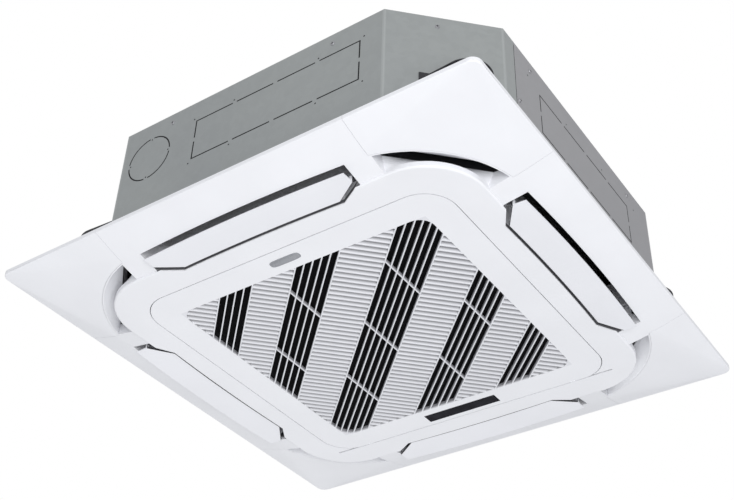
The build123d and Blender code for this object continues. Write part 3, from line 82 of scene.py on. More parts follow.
# ---------------------------------------------------------------------------------------------------
# Material helpers
# ---------------------------------------------------------------------------------------------------
class Nodes:
    """A node material under construction, with the few node chains that the finishes below share."""

    INPUTS = {"rough": "Roughness", "metal": "Metallic", "spec": "Specular IOR Level", "coat": "Coat Weight",
              "coat_rough": "Coat Roughness", "sheen": "Sheen Weight"}

    def __init__(self, name):
        self.mat = bpy.data.materials.new(name)
        self.mat.use_nodes = True
        self.tree = self.mat.node_tree
        self.shader = self.tree.nodes["Principled BSDF"]
        self.place = self.add("ShaderNodeTexCoord").outputs["Object"]
        self.normal = None

    def add(self, kind, **values):
        node = self.tree.nodes.new(kind)
        for key, value in values.items():
            setattr(node, key, value)
        return node

    def link(self, a, b):
        self.tree.links.new(a, b)

    def set(self, **values):
        for key, value in values.items():
            self.shader.inputs[self.INPUTS[key]].default_value = value
        return self

    # Patterns
    def noise(self, scale, detail=3.0, rough=0.5, stretch=None):
        node = self.add("ShaderNodeTexNoise")
        node.inputs["Scale"].default_value = scale
        node.inputs["Detail"].default_value = detail
        node.inputs["Roughness"].default_value = rough
        self.link(self.stretched(stretch) if stretch else self.place, node.inputs["Vector"])
        return node.outputs["Fac"]

    def cells(self, scale, out="Color", feature="F1"):
        node = self.add("ShaderNodeTexVoronoi", feature=feature)
        node.inputs["Scale"].default_value = scale
        self.link(self.place, node.inputs["Vector"])
        return node.outputs[out]

    def stretched(self, stretch):
        node = self.add("ShaderNodeMapping")
        node.inputs["Scale"].default_value = stretch
        self.link(self.place, node.inputs["Vector"])
        return node.outputs["Vector"]

    def waves(self, source, period):
        """Evenly spaced lines, 0 to 1, along a source that is in metres, as the period is."""
        wave = self.math("SINE", self.math("MULTIPLY", source, 2 * pi / period))
        return self.math("MULTIPLY_ADD", wave, 0.5, 0.5)

    # Sums
    def math(self, op, *values):
        node = self.add("ShaderNodeMath", operation=op)
        for i, value in enumerate(values):
            if isinstance(value, (int, float)):
                node.inputs[i].default_value = value
            else:
                self.link(value, node.inputs[i])
        return node.outputs[0]

    def both(self, a, b):
        """1 where both masks are 1."""
        return self.math("MULTIPLY", a, b)

    def either(self, a, b):
        """1 where one of the masks is 1."""
        return self.math("MAXIMUM", a, b)

    def above(self, source, start, end):
        """0 below start, 1 above end, smooth in between."""
        node = self.add("ShaderNodeMapRange", interpolation_type="SMOOTHSTEP")
        node.inputs["From Min"].default_value = start
        node.inputs["From Max"].default_value = end
        self.link(source, node.inputs["Value"])
        return node.outputs["Result"]

    def below(self, source, start, end):
        """1 below start, 0 above end, smooth in between."""
        return self.math("SUBTRACT", 1.0, self.above(source, start, end))

    # Places on the object
    def axes(self):
        """The three coordinates of a point on the object, in metres."""
        split = self.add("ShaderNodeSeparateXYZ")
        self.link(self.place, split.inputs[0])
        return split.outputs[0], split.outputs[1], split.outputs[2]

    def folded(self):
        """The larger and the smaller of |x| and |y|, and z. The object is alike on its four sides."""
        x, y, z = self.axes()
        ax, ay = self.math("ABSOLUTE", x), self.math("ABSOLUTE", y)
        return self.math("MAXIMUM", ax, ay), self.math("MINIMUM", ax, ay), z

    def distance(self, a, b):
        return self.math("SQRT", self.math("ADD", self.math("MULTIPLY", a, a), self.math("MULTIPLY", b, b)))

    def near(self, x, y, start, end):
        """1 near the upright lines at (+-x, +-y), 0 further away than end."""
        px, py, _ = self.axes()
        dx = self.math("SUBTRACT", self.math("ABSOLUTE", px), x)
        dy = self.math("SUBTRACT", self.math("ABSOLUTE", py), y)
        return self.below(self.distance(dx, dy), start, end)

    # Colours and the shader's inputs
    def ramp(self, source, low, high, start=0.0, end=1.0):
        """A colour ramp between two colours, between two values of the source."""
        node = self.add("ShaderNodeValToRGB")
        first, last = node.color_ramp.elements
        first.position, last.position = start, end
        first.color = (*low, 1.0)
        last.color = (*high, 1.0)
        self.link(source, node.inputs["Fac"])
        return node.outputs["Color"]

    def mix(self, factor, a, b, kind="MIX"):
        node = self.add("ShaderNodeMix", data_type="RGBA", blend_type=kind)
        for socket, value in zip((node.inputs["Factor"], node.inputs[6], node.inputs[7]), (factor, a, b)):
            if isinstance(value, (int, float)):
                socket.default_value = value
            elif isinstance(value, tuple):
                socket.default_value = (*value, 1.0)
            else:
                self.link(value, socket)
        return node.outputs[2]

    def colour(self, source):
        self.link(source, self.shader.inputs["Base Color"])
        return self

    def roughness(self, source, low, high):
        node = self.add("ShaderNodeMapRange")
        node.inputs["To Min"].default_value = low
        node.inputs["To Max"].default_value = high
        self.link(source, node.inputs["Value"])
        self.link(node.outputs["Result"], self.shader.inputs["Roughness"])
        return self

    def bump(self, source, depth, strength=1.0):
        """Adds a bump whose full height is depth, in metres. Bumps add up."""
        node = self.add("ShaderNodeBump")
        node.inputs["Strength"].default_value = strength
        node.inputs["Distance"].default_value = depth
        self.link(source, node.inputs["Height"])
        if self.normal is not None:
            self.link(self.normal, node.inputs["Normal"])
        self.normal = node.outputs["Normal"]
        self.link(self.normal, self.shader.inputs["Normal"])
        return self


def tint(colour, factor):
    return tuple(min(1.0, c * factor) for c in colour)


# ---------------------------------------------------------------------------------------------------
# Painted shade that follows the object's shape, and the height of the top plate's beads
# ---------------------------------------------------------------------------------------------------
# Colours of painted shade: the corner slits, the outlets' inner walls, the flaps' gaps and the grille
SLIT_SHADE_BLACK = (0.012, 0.012, 0.014)
STRIP_SHADE_GREY = (0.130, 0.130, 0.140)
GAP_SHADE_BLACK = (0.045, 0.045, 0.050)
BAR_SHADE = (0.90, 0.90, 0.91)              # painted shade; multiplies the lower edges' colour
BAR_DEEP_SHADE = (0.36, 0.36, 0.385)


def slit_shadow(n, base):
    """Painted shade: the corner slits black above their mouths, and a dark strip along the inner wall of each
    outlet, where shade falls.
    """
    far, close, z = n.folded()
    band = n.both(n.above(n.math("ADD", far, close), *SLIT_FROM), n.below(far, *SLIT_TO))
    slit = n.mix(n.both(n.above(z, *SLIT_RISE), band), base, SLIT_SHADE_BLACK)
    wall = n.both(n.both(n.above(far, *WALL_FROM), n.below(far, *WALL_TO)), n.below(close, *WALL_END))
    strip = n.both(n.above(z, *STRIP_FROM), n.below(z, *STRIP_TO))
    return n.mix(n.both(wall, strip), slit, STRIP_SHADE_GREY)


def flap_gap_shade(n, base):
    """Painted shade: a dark strip along the edge of each flap, on its inner side and its slanted corners, for
    the shadow in the gap beside it.
    """
    far, close, _ = n.folded()
    (x0, y0), (x1, y1) = FLAP_NOSE
    run = hypot(x1 - x0, y1 - y0)
    slant = n.math("MULTIPLY_ADD", close, (y1 - y0) / run, (y0 * (x1 - x0) - x0 * (y1 - y0)) / run)
    outside = n.math("MULTIPLY_ADD", far, (x0 - x1) / run, slant)
    corner = n.above(outside, -NOSE_W - EDGE_SOFT, -NOSE_W)
    bowed = n.math("MULTIPLY_ADD", n.math("MULTIPLY", close, close), FLAP_BOW / (x0 * x0), far)
    edge = y0 + FLAP_BOW + EDGE_W
    return n.mix(n.either(n.below(bowed, edge, edge + EDGE_SOFT), corner), base, GAP_SHADE_BLACK)


def louvre_shade(n, base):
    """Painted shade in the grille: its bars and blades grow darker away from their lower edges."""
    far, _, z = n.folded()
    lower = n.mix(n.below(far, *GRILLE_EDGE), base, n.mix(1.0, base, BAR_SHADE, "MULTIPLY"))
    return n.mix(n.above(z, *BAR_RISE), lower, BAR_DEEP_SHADE)


def pressed_beads(n):
    """Height of the stiffening beads pressed into the top plate: a ring and four arms towards the corners."""
    far, close, z = n.folded()
    r = n.distance(far, close)
    ring = n.below(n.math("ABSOLUTE", n.math("SUBTRACT", r, RING_R)), *RING_SOFT)
    run = n.both(n.above(r, *ARM_FROM), n.below(r, *ARM_TO))
    arm = n.both(n.below(n.math("SUBTRACT", far, close), *ARM_SOFT), run)
    return n.both(n.above(z, *TOP_FACE), n.either(ring, arm))


# ---------------------------------------------------------------------------------------------------
# Finishes, one for each material slot of the record, and those that a few pieces have for their own
# ---------------------------------------------------------------------------------------------------
GRAIN_SCALE = 900.0
GRAIN_DEPTH = 0.06 * MM
BEAD_DEPTH = 3 * MM
FIN_PITCH = 3.2 * MM
NET_PITCH = 2.4 * MM


def moulded(name, colour, rough=(0.38, 0.50), shade=0.965, metal=0.0, spec=0.4, tone=None):
    """Injection-moulded plastic: fine spark-eroded grain, and a faint cloudiness in tone and gloss."""
    n = Nodes(name).set(spec=spec, metal=metal)
    base = n.ramp(n.noise(9.0), tint(colour, shade), colour, 0.30, 0.70)
    n.colour(tone(n, base) if tone else base)
    n.roughness(n.noise(60.0, 4.0), *rough)
    n.bump(n.noise(GRAIN_SCALE, 2.0), GRAIN_DEPTH, 0.5)
    return n.mat


def galvanised(name, colour, press=None):
    """Hot-dip galvanised sheet: crystal spangle, a painted highlight along the folds and a few dull stains.
    """
    n = Nodes(name).set(metal=0.55, spec=0.4)
    grey = n.add("ShaderNodeRGBToBW")
    n.link(n.cells(95.0), grey.inputs[0])
    spangle = grey.outputs[0]
    base = n.ramp(spangle, tint(colour, 0.965), tint(colour, 1.02), 0.15, 0.85)
    stain = n.ramp(n.noise(3.0, 4.0, 0.6), (0.92, 0.92, 0.935), (1.0, 1.0, 1.0), 0.30, 0.62)
    # painted highlight along the casing's upright folds
    fold_highlight = n.either(n.near(FOLD_NEAR, FOLD_FAR, *FOLD_HIGHLIGHT), n.near(FOLD_FAR, FOLD_NEAR, *FOLD_HIGHLIGHT))
    n.colour(n.mix(fold_highlight, n.mix(1.0, base, stain, "MULTIPLY"), tint(colour, 1.12)))
    n.roughness(spangle, 0.44, 0.54)
    n.bump(spangle, 0.02 * MM, 0.25)
    n.bump(n.noise(16.0, 2.0), 0.3 * MM, 0.08)
    if press:
        n.bump(press(n), BEAD_DEPTH)
    return n.mat


def painted_steel(name, colour):
    """Powder-coated steel with its fine orange peel and thin spots towards bare metal."""
    n = Nodes(name).set(metal=0.15, spec=0.4)
    n.colour(n.ramp(n.noise(70.0, 5.0, 0.7), tint(colour, 0.75), tint(colour, 1.25), 0.3, 0.7))
    n.roughness(n.noise(35.0), 0.42, 0.58)
    n.bump(n.noise(420.0, 2.0), 0.12 * MM, 0.4)
    return n.mat


def foam(name, colour, pore=260.0):
    """Expanded foam: closed pores, matt skin and uneven tone."""
    n = Nodes(name).set(spec=0.15, sheen=0.1)
    pores = n.cells(pore, "Distance")
    patches = n.ramp(n.noise(12.0, 4.0), (0.88, 0.88, 0.88), (1.0, 1.0, 1.0), 0.3, 0.7)
    n.colour(n.mix(1.0, n.ramp(pores, colour, tint(colour, 0.78), 0.1, 0.9), patches, "MULTIPLY"))
    n.roughness(n.noise(40.0), 0.82, 0.95)
    n.bump(pores, 0.6 * MM, 0.5)
    return n.mat


def finned(name, colour):
    """Coil face: thin aluminium fins across the coil, with painted shade in the air gaps between them."""
    n = Nodes(name).set(metal=0.6, spec=0.4)
    x, y, _ = n.axes()
    fins = n.waves(n.math("ADD", x, y), FIN_PITCH)
    patches = n.ramp(n.noise(18.0, 4.0), (0.82, 0.83, 0.84), (1.0, 1.0, 1.0), 0.3, 0.7)
    # the gaps between the fins are painted dark, as shade
    n.colour(n.mix(1.0, n.ramp(fins, tint(colour, 0.16), colour, 0.15, 0.75), patches, "MULTIPLY"))
    n.roughness(n.noise(30.0), 0.35, 0.5)
    n.bump(fins, 1.2 * MM, 0.7)
    return n.mat


def drawn_metal(name, colour, dull, rough=(0.24, 0.40)):
    """Drawn tube or turned brass: light tarnish in patches, fine lines along the draw."""
    n = Nodes(name).set(metal=0.95, spec=0.5)
    n.colour(n.ramp(n.noise(38.0, 5.0, 0.65), dull, colour, 0.32, 0.62))
    n.roughness(n.noise(22.0, 4.0), *rough)
    n.bump(n.noise(700.0, 2.0, 0.5, (1.0, 1.0, 0.15)), 0.05 * MM, 0.4)
    return n.mat


def netting(name, colour):
    """Filter net: crossed threads with painted shade in the open cells between them."""
    n = Nodes(name).set(spec=0.05)
    x, y, _ = n.axes()
    threads = n.either(n.waves(x, NET_PITCH), n.waves(y, NET_PITCH))
    # the open cells between the threads are painted darker, as shade
    n.colour(n.ramp(threads, tint(colour, 0.25), colour, 0.55, 0.95))
    n.roughness(threads, 0.55, 0.8)
    n.bump(threads, 0.5 * MM, 0.8)
    return n.mat


def circuit(name, colour):
    """Solder mask over copper tracks."""
    n = Nodes(name).set(spec=0.5, coat=0.2, coat_rough=0.3)
    tracks = n.cells(210.0, "Distance", "DISTANCE_TO_EDGE")
    n.colour(n.ramp(tracks, tint(colour, 1.8), colour, 0.02, 0.09))
    n.roughness(n.noise(50.0), 0.30, 0.45)
    n.bump(tracks, 0.2 * MM, 0.3)
    return n.mat


def smoked_window(name):
    """The display's smoked cover: near black, glossy, with faint dust in its tone."""
    n = Nodes(name).set(spec=0.06, coat=0.03, coat_rough=0.08)
    n.colour(n.ramp(n.noise(55.0, 4.0), (0.006, 0.006, 0.009), (0.018, 0.018, 0.024), 0.35, 0.7))
    n.roughness(n.noise(140.0), 0.12, 0.22)
    n.bump(n.noise(300.0), 0.02 * MM, 0.3)
    return n.mat


PANEL_WHITE = (0.845, 0.852, 0.885)
SHEET_GREY = (0.405, 0.425, 0.422)
HOLE_BLACK = (0.012, 0.012, 0.013)

FINISH = {
    "galvanised_steel": galvanised("galvanised_steel", SHEET_GREY),
    "bracket_steel": painted_steel("bracket_steel", (0.040, 0.040, 0.045)),
    "white_plastic": moulded("white_plastic", PANEL_WHITE),
    # the flaps' tone paints shade in the gaps along their edges
    "flap_plastic": moulded("flap_plastic", (0.835, 0.842, 0.880), rough=(0.32, 0.44), tone=flap_gap_shade),
    "filter_black": moulded("filter_black", (0.004, 0.004, 0.005), rough=(0.6, 0.75), shade=0.7, spec=0.1),
    "foam": foam("foam", (0.030, 0.030, 0.032)),
    "pan_foam": foam("pan_foam", (0.780, 0.780, 0.810), pore=420.0),
    "gasket_foam": foam("gasket_foam", (0.020, 0.020, 0.021), pore=600.0),
    "coil_aluminium": finned("coil_aluminium", (0.66, 0.67, 0.69)),
    "copper": drawn_metal("copper", (0.72, 0.36, 0.22), (0.40, 0.19, 0.12)),
    "brass_fitting": drawn_metal("brass_fitting", (0.78, 0.60, 0.30), (0.50, 0.36, 0.17)),
    "fan_plastic": moulded("fan_plastic", (0.055, 0.058, 0.065), rough=(0.40, 0.55), shade=0.8),
    "motor_steel": painted_steel("motor_steel", (0.085, 0.088, 0.095)),
    "bright_steel": drawn_metal("bright_steel", (0.62, 0.62, 0.64), (0.42, 0.42, 0.44)),
    "dark_rubber": foam("dark_rubber", (0.022, 0.022, 0.023), pore=900.0),
    "grey_plastic": moulded("grey_plastic", (0.200, 0.205, 0.215), shade=0.85),
    "board_green": circuit("board_green", (0.012, 0.080, 0.030)),
    "clear_window": smoked_window("clear_window"),
}
ZINC = drawn_metal("zinc_screws", (0.52, 0.52, 0.54), (0.40, 0.40, 0.42), rough=(0.40, 0.52))
PLATE = moulded("plate_grey", (0.30, 0.31, 0.335), rough=(0.22, 0.32), shade=0.90, metal=0.35)
HOLE_DARK = foam("hole_dark", HOLE_BLACK, pore=900.0)
REAR_SHEET = galvanised("rear_sheet", (0.410, 0.408, 0.420))

# Every CAD node takes the finish of its slot, apart from these.
OWN_FINISH = {
    "filter_mesh": netting("filter_net", (0.005, 0.005, 0.006)),
    # the panel's skin carries painted shade in its slits and outlets
    "panel_frame": moulded("panel_skin", PANEL_WHITE, tone=slit_shadow),
    # the grille's skin carries painted shade between its bars and blades
    "intake_grille": moulded("grille_skin", PANEL_WHITE, tone=louvre_shade),
    "casing_top": galvanised("top_sheet", SHEET_GREY, pressed_beads),
    "casing_rear_sheet": REAR_SHEET,
    "pipe_cover": REAR_SHEET,
}
for part in frame["record"]["subparts"]:
    finish = OWN_FINISH.get(part["node"], FINISH[part["material_slot"]])
    piece = frame["nodes"][part["node"]]
    piece.data.materials.clear()
    piece.data.materials.append(finish)


# ---------------------------------------------------------------------------------------------------
# Mesh helpers
# ---------------------------------------------------------------------------------------------------
SHARP_ANGLE = radians(35)


def make_piece(name, bm, material, body="fixed"):
    """A mesh piece from bm, with its finish, slot and body."""
    bmesh.ops.recalc_face_normals(bm, faces=bm.faces)
    mesh = bpy.data.meshes.new(name)
    bm.to_mesh(mesh)
    bm.free()
    mesh.materials.append(material)
    for face in mesh.polygons:
        face.use_smooth = True
    mesh.set_sharp_from_angle(angle=SHARP_ANGLE)
    obj = bpy.data.objects.new(name, mesh)
    bpy.context.scene.collection.objects.link(obj)
    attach(obj, body)
    return obj


def bridge(bm, rings):
    """Faces between each ring of vertices and the next one. A ring may be a single vertex."""
    for low, high in zip(rings, rings[1:]):
        steps = max(len(low), len(high))
        for i in range(steps):
            j = (i + 1) % steps
            if len(low) == 1:
                bm.faces.new((low[0], high[i], high[j]))
            elif len(high) == 1:
                bm.faces.new((low[i], low[j], high[0]))
            else:
                bm.faces.new((low[i], low[j], high[j], high[i]))


def turned(bm, profile, steps, at):
    """Turns a profile of (radius, height) points about Z, closing it where the radius is 0."""
    rings = []
    for r, z in profile:
        angles = [2 * pi * i / steps for i in range(steps)] if r else [0]
        rings.append([bm.verts.new(at @ Vector((r * cos(a), r * sin(a), z))) for a in angles])
    bridge(bm, rings)


def facing(point, normal):
    """A matrix that puts a piece at a point with its +Z along a normal."""
    return Matrix.Translation(point) @ Vector(normal).to_track_quat("Z", "Y").to_matrix().to_4x4()


def wall_point(side, along, height):
    """A point on a casing wall with its outward normal, from mm. Chamfers are named by two sides."""
    rise = height * MM
    a = along * MM
    half_x, half_y = RIGHT_X, -FRONT_Y
    mid = half_x - CHAMFER / 2
    spots = {
        "front": ((a, -half_y, rise), (0, -1, 0)),
        "rear": ((a, half_y, rise), (0, 1, 0)),
        "right": ((half_x, a, rise), (1, 0, 0)),
        "left": ((-half_x, a, rise), (-1, 0, 0)),
        "front_right": ((mid + a, -mid + a, rise), (1, -1, 0)),
        "rear_right": ((mid - a, mid + a, rise), (1, 1, 0)),
        "rear_left": ((-mid - a, mid - a, rise), (-1, 1, 0)),
        "front_left": ((-mid + a, -mid - a, rise), (-1, -1, 0)),
    }
    point, normal = spots[side]
    return Vector(point), Vector(normal).normalized()


# ---------------------------------------------------------------------------------------------------
# Casing screws and punched holes. Spots are a wall, the place along it and the height, mm.
# ---------------------------------------------------------------------------------------------------
SCREW_R = 4.2 * MM
SCREW_H = 1.9 * MM
SCREW_HEAD = ((0, 1), (0.5, 0.95), (0.75, 0.72), (0.82, 0.30), (1, 0.24))   # parts of the radius and height
SCREW_SUNK = 0.2 * MM
SCREW_STEPS = 20
CROSS_W = 0.9 * MM
CROSS_L = 4.6 * MM
CROSS_T = 0.2 * MM
TOP_ROW = 130.5
LOW_ROW = -84
SCREW_SPOTS = [("front", -169, TOP_ROW), ("front", 178.5, TOP_ROW), ("rear", -180, TOP_ROW),
               ("rear", 180, TOP_ROW), ("right", -190, TOP_ROW), ("right", 190, TOP_ROW),
               ("left", -170, TOP_ROW), ("left", 230, 138), ("front_right", -8, TOP_ROW),
               ("rear_right", 0, TOP_ROW), ("rear_left", 0, TOP_ROW), ("front_left", 0, TOP_ROW),
               ("front", -243, LOW_ROW), ("front", 243, LOW_ROW), ("rear", -243, LOW_ROW),
               ("rear", 243, LOW_ROW), ("right", -235, 25), ("left", -235, LOW_ROW)]

KNOCK_X, KNOCK_Z = -215, 68         # middle of the round knock-out in the front wall
HOLE_R = 1.7 * MM
HOLE_STEPS = 16
HOLE_DISC = ((0, 0.12), (0.8, 0.12), (1, 0.03))                             # part of the radius; height, mm
HOLE_RIM = ((0.95, 0.05), (1.15, 0.22), (1.5, 0.14), (1.8, -0.03))
HOLE_SPOTS = [("front", x, z) for x in (-116, -27, 151, 242) for z in (111, 8)]
HOLE_SPOTS += [("rear", x, z) for x in (-150, -50, 50, 150) for z in (111, 8)]
HOLE_SPOTS += [("right", y, 113) for y in (-200, -60, 80, 215)]
HOLE_SPOTS += [("front", KNOCK_X + dx, KNOCK_Z + dz) for dx, dz in ((-44, 0), (44, 0), (0, -44), (0, 44))]


def add_screw(bm, at):
    """Pan-head screw with a washer face and a cross recess, standing on the sheet. The recess is a thin dark
    cross on the head, painted shade.
    """
    profile = [(SCREW_R * r, SCREW_H * h) for r, h in SCREW_HEAD] + [(SCREW_R, -SCREW_SUNK)]
    turned(bm, profile, SCREW_STEPS, at)
    for turn in (0, pi / 2):
        middle = at @ Matrix.Rotation(turn, 4, "Z") @ Matrix.Translation((0, 0, SCREW_H * 0.97))
        # the cross recess is a thin slab in the dark slot: painted shade, not a cut
        groove = bmesh.ops.create_cube(bm, size=1.0,
                                       matrix=middle @ Matrix.Diagonal((CROSS_L, CROSS_W, CROSS_T, 1)))
        for vert in groove["verts"]:
            for face in vert.link_faces:
                face.material_index = 1


def at_holes(shape):
    """The same small turned shape at every punched hole."""
    bm = bmesh.new()
    for spot in HOLE_SPOTS:
        turned(bm, [(HOLE_R * r, h * MM) for r, h in shape], HOLE_STEPS, facing(*wall_point(*spot)))
    return bm


bm = bmesh.new()
for spot in SCREW_SPOTS:
    add_screw(bm, facing(*wall_point(*spot)))
screws = make_piece("casing_screws", bm, ZINC)
# second slot: the painted shade of the cross recesses
screws.data.materials.append(HOLE_DARK)
make_piece("punched_holes", at_holes(HOLE_DISC), HOLE_DARK)
make_piece("punched_rims", at_holes(HOLE_RIM), FINISH["galvanised_steel"])


# ---------------------------------------------------------------------------------------------------
# Dark filler in the slots round the knock-outs, and the bead over the seam between the two sheets, mm
# ---------------------------------------------------------------------------------------------------
FILL_W = 2.7            # a little wider than the slots
FILL_PROUD = 0.14       # crown above the sheet
FILL_DEPTH = 0.5        # foot below the sheet's face
FILL_SIDE = 0.12        # edges below the crown
FILL_SHOULDER = 0.03    # half way to the edges, below the crown
SLOT_MID = 1.0          # a slot's middle line, from its outer edge
TAB_HALF = 4.55         # half the gap that each tab leaves in the filler
TAB_STEP = 87
KNOCK_R = 47.0          # middle of the round slot
ARC_STEPS = 15
FRONT_WINDOW = (-111, 235, 15.5, 105.5)     # left, right, low and high edges. Heights are the object's z.
RIGHT_WINDOW = (-160, 184, 14.5, 101.5)
SEAM_Y = -245.75
SEAM_HEIGHTS = range(-95, 146, 10)
SEAM_W = 1.3
SEAM_PROUD = 0.22


def add_bead(bm, at, path, width=FILL_W, proud=FILL_PROUD):
    """A crowned strip along a path of points in the plane of a casing wall."""
    edge, shoulder = proud - FILL_SIDE, proud - FILL_SHOULDER
    profile = [(-width / 2, -FILL_DEPTH), (-width / 2, edge), (-width / 4, shoulder), (0, proud),
               (width / 4, shoulder), (width / 2, edge), (width / 2, -FILL_DEPTH)]
    rings = []
    for i, (u, v) in enumerate(path):
        (u0, v0), (u1, v1) = path[max(i - 1, 0)], path[min(i + 1, len(path) - 1)]
        run = hypot(u1 - u0, v1 - v0)
        du, dv = -(v1 - v0) / run, (u1 - u0) / run
        rings.append([bm.verts.new(at @ Vector(((u + du * a) * MM, (v + dv * a) * MM, h * MM)))
                      for a, h in profile])
    bridge(bm, rings)
    bm.faces.new(rings[0])
    bm.faces.new(rings[-1])


def wall_plane(side):
    """A matrix whose X runs along a wall, Y up it and Z out of it, from the wall's middle at height 0."""
    point, normal = wall_point(side, 0, 0)
    up = Vector((0, 0, 1))
    return Matrix.Translation(point) @ Matrix((up.cross(normal), up, normal)).transposed().to_4x4()


def window_runs(edges):
    """The straight slots round a rectangular knock-out, broken by its tabs."""
    left, right, low, high = edges
    middle, rise = (left + right) / 2, (low + high) / 2
    stops = [left] + [middle + i * TAB_STEP + s * TAB_HALF for i in (-1, 0, 1) for s in (-1, 1)] + [right]
    runs = [((a, v), (b, v)) for v in (low + SLOT_MID, high - SLOT_MID)
            for a, b in zip(stops[::2], stops[1::2])]
    runs += [((u, a), (u, b)) for u in (left + SLOT_MID, right - SLOT_MID)
             for a, b in ((low, rise - TAB_HALF), (rise + TAB_HALF, high))]
    return runs


def round_runs():
    """The four arcs of the slot round the round knock-out."""
    tab = degrees(asin(TAB_HALF / KNOCK_R))
    runs = []
    for quarter in (0, 90, 180, 270):
        angles = [radians(quarter + tab + (90 - 2 * tab) * i / ARC_STEPS) for i in range(ARC_STEPS + 1)]
        runs.append([(KNOCK_X + KNOCK_R * cos(a), KNOCK_Z + KNOCK_R * sin(a)) for a in angles])
    return runs


bm = bmesh.new()
for path in window_runs(FRONT_WINDOW) + round_runs():
    add_bead(bm, wall_plane("front"), path)
for path in window_runs(RIGHT_WINDOW):
    add_bead(bm, wall_plane("right"), path)
for side, turn in (("right", 1), ("left", -1)):
    add_bead(bm, wall_plane(side), [(turn * SEAM_Y, z) for z in SEAM_HEIGHTS], SEAM_W, SEAM_PROUD)
make_piece("slot_filler", bm, HOLE_DARK)


# ---------------------------------------------------------------------------------------------------
# Bare plate on the grille's front border
# ---------------------------------------------------------------------------------------------------
PLATE_BOX = (-32.5, 27.5, -287.0, -271.0)   # left, right, front and rear, mm
PLATE_H = 0.9 * MM
PLATE_SUNK = 0.1 * MM
PLATE_STEPS = 64
PLATE_LEVELS = ((0.0, 0.55), (0.45, 0.9), (1.3, 1), (1.9, 0.72))    # inset, mm, and part of the height
LONG_POWER = 0.34       # smaller powers give squarer corners
SHORT_POWER = 0.64


def rounded(value, power):
    """A sine or cosine brought nearer to 1 or -1 by a power below 1."""
    return abs(value) ** power * (1 if value >= 0 else -1)


def plate_outline(inset):
    """The plate's outline with its long sides slightly bowed and its corners fully rounded."""
    x0, x1, y0, y1 = PLATE_BOX
    cx, cy = (x0 + x1) / 2, (y0 + y1) / 2
    hx, hy = (x1 - x0) / 2 - inset, (y1 - y0) / 2 - inset
    angles = [2 * pi * i / PLATE_STEPS for i in range(PLATE_STEPS)]
    return [((cx + hx * rounded(cos(t), LONG_POWER)) * MM, (cy + hy * rounded(sin(t), SHORT_POWER)) * MM)
            for t in angles]


bm = bmesh.new()
levels = [(0.0, PLATE_SUNK)] + [(inset, -PLATE_H * part) for inset, part in PLATE_LEVELS]
rings = [[bm.verts.new((x, y, FACE_Z + z)) for x, y in plate_outline(inset)] for inset, z in levels]
bridge(bm, rings)
bm.faces.new(rings[-1])
bm.faces.new(rings[0])
make_piece("front_plate", bm, PLATE, "door")


# ---------------------------------------------------------------------------------------------------
# Stage, light and camera
# ---------------------------------------------------------------------------------------------------
FLOOR_Z = -6.0
FLOOR_HALF = 40.0
FLOOR_SEGMENTS = 24
SKY = (0.97, 0.98, 1.0, 1.0)
SKY_STRENGTH = 0.62
BACKDROP = (1.0, 1.0, 1.0, 1.0)
CAMERA_AT = (1.0344, -1.50315, -1.3650)
CAMERA_RIGHT = Vector((0.826378, 0.562426, 0.02786))
CAMERA_DOWN = Vector((-0.326736, 0.519196, -0.789734))
CAMERA_FORWARD = Vector((-0.458632, 0.643516, 0.612817))
SENSOR_W = 36.0         # mm
LENS = 59.91


def add_floor():
    bm = bmesh.new()
    bmesh.ops.create_grid(bm, x_segments=FLOOR_SEGMENTS, y_segments=FLOOR_SEGMENTS, size=FLOOR_HALF)
    for v in bm.verts:
        v.co.z = FLOOR_Z
    mesh = bpy.data.meshes.new("floor")
    bm.to_mesh(mesh)
    bm.free()
    n = Nodes("floor_pale").set(spec=0.2)
    n.colour(n.ramp(n.noise(2.0, 4.0), (0.86, 0.86, 0.86), (0.89, 0.89, 0.89), 0.3, 0.7))
    n.roughness(n.noise(6.0), 0.75, 0.9)
    mesh.materials.append(n.mat)
    floor = bpy.data.objects.new("floor", mesh)
    bpy.context.scene.collection.objects.link(floor)


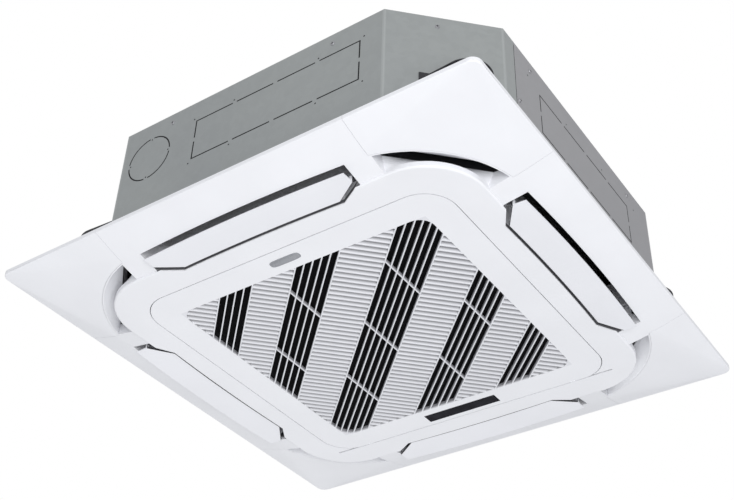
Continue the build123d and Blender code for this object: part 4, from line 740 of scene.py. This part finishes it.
def add_light(name, place, side, power):
    """A square light, side metres wide, that shines on the origin."""
    data = bpy.data.lights.new(name, "AREA")
    data.shape = "RECTANGLE"
    data.size = data.size_y = side
    data.energy = power
    light = bpy.data.objects.new(name, data)
    light.location = place
    light.rotation_euler = (-Vector(place)).to_track_quat("-Z", "Y").to_euler()
    bpy.context.scene.collection.objects.link(light)
    light.visible_camera = False


def add_world():
    """Soft light from all round; the camera sees plain white behind the object."""
    world = bpy.data.worlds.new("studio")
    bpy.context.scene.world = world
    world.use_nodes = True
    tree = world.node_tree
    tree.nodes.clear()
    out = tree.nodes.new("ShaderNodeOutputWorld")
    soft = tree.nodes.new("ShaderNodeBackground")
    soft.inputs["Color"].default_value = SKY
    soft.inputs["Strength"].default_value = SKY_STRENGTH
    white = tree.nodes.new("ShaderNodeBackground")
    white.inputs["Color"].default_value = BACKDROP
    white.inputs["Strength"].default_value = 1.0
    rays = tree.nodes.new("ShaderNodeLightPath")
    pick = tree.nodes.new("ShaderNodeMixShader")
    tree.links.new(rays.outputs["Is Camera Ray"], pick.inputs[0])
    tree.links.new(soft.outputs[0], pick.inputs[1])
    tree.links.new(white.outputs[0], pick.inputs[2])
    tree.links.new(pick.outputs[0], out.inputs["Surface"])


def add_camera():
    turn = Matrix((CAMERA_RIGHT, -CAMERA_DOWN, -CAMERA_FORWARD)).transposed()
    data = bpy.data.cameras.new("camera")
    data.sensor_fit = "HORIZONTAL"
    data.sensor_width = SENSOR_W
    data.lens = LENS
    camera = bpy.data.objects.new("camera", data)
    camera.matrix_world = Matrix.Translation(CAMERA_AT) @ turn.to_4x4()
    bpy.context.scene.collection.objects.link(camera)
    bpy.context.scene.camera = camera


add_floor()
add_world()
add_light("key", (2.3, -2.4, -1.6), 2.4, 74.0)
add_light("fill", (-2.4, 1.4, -1.9), 2.6, 13.0)
add_light("top", (-1.2, 1.5, 2.8), 2.6, 45.0)
add_light("low", (0.2, 0.0, -2.4), 3.0, 12.0)
add_camera()
scene = bpy.context.scene
scene.view_settings.view_transform = "Standard"
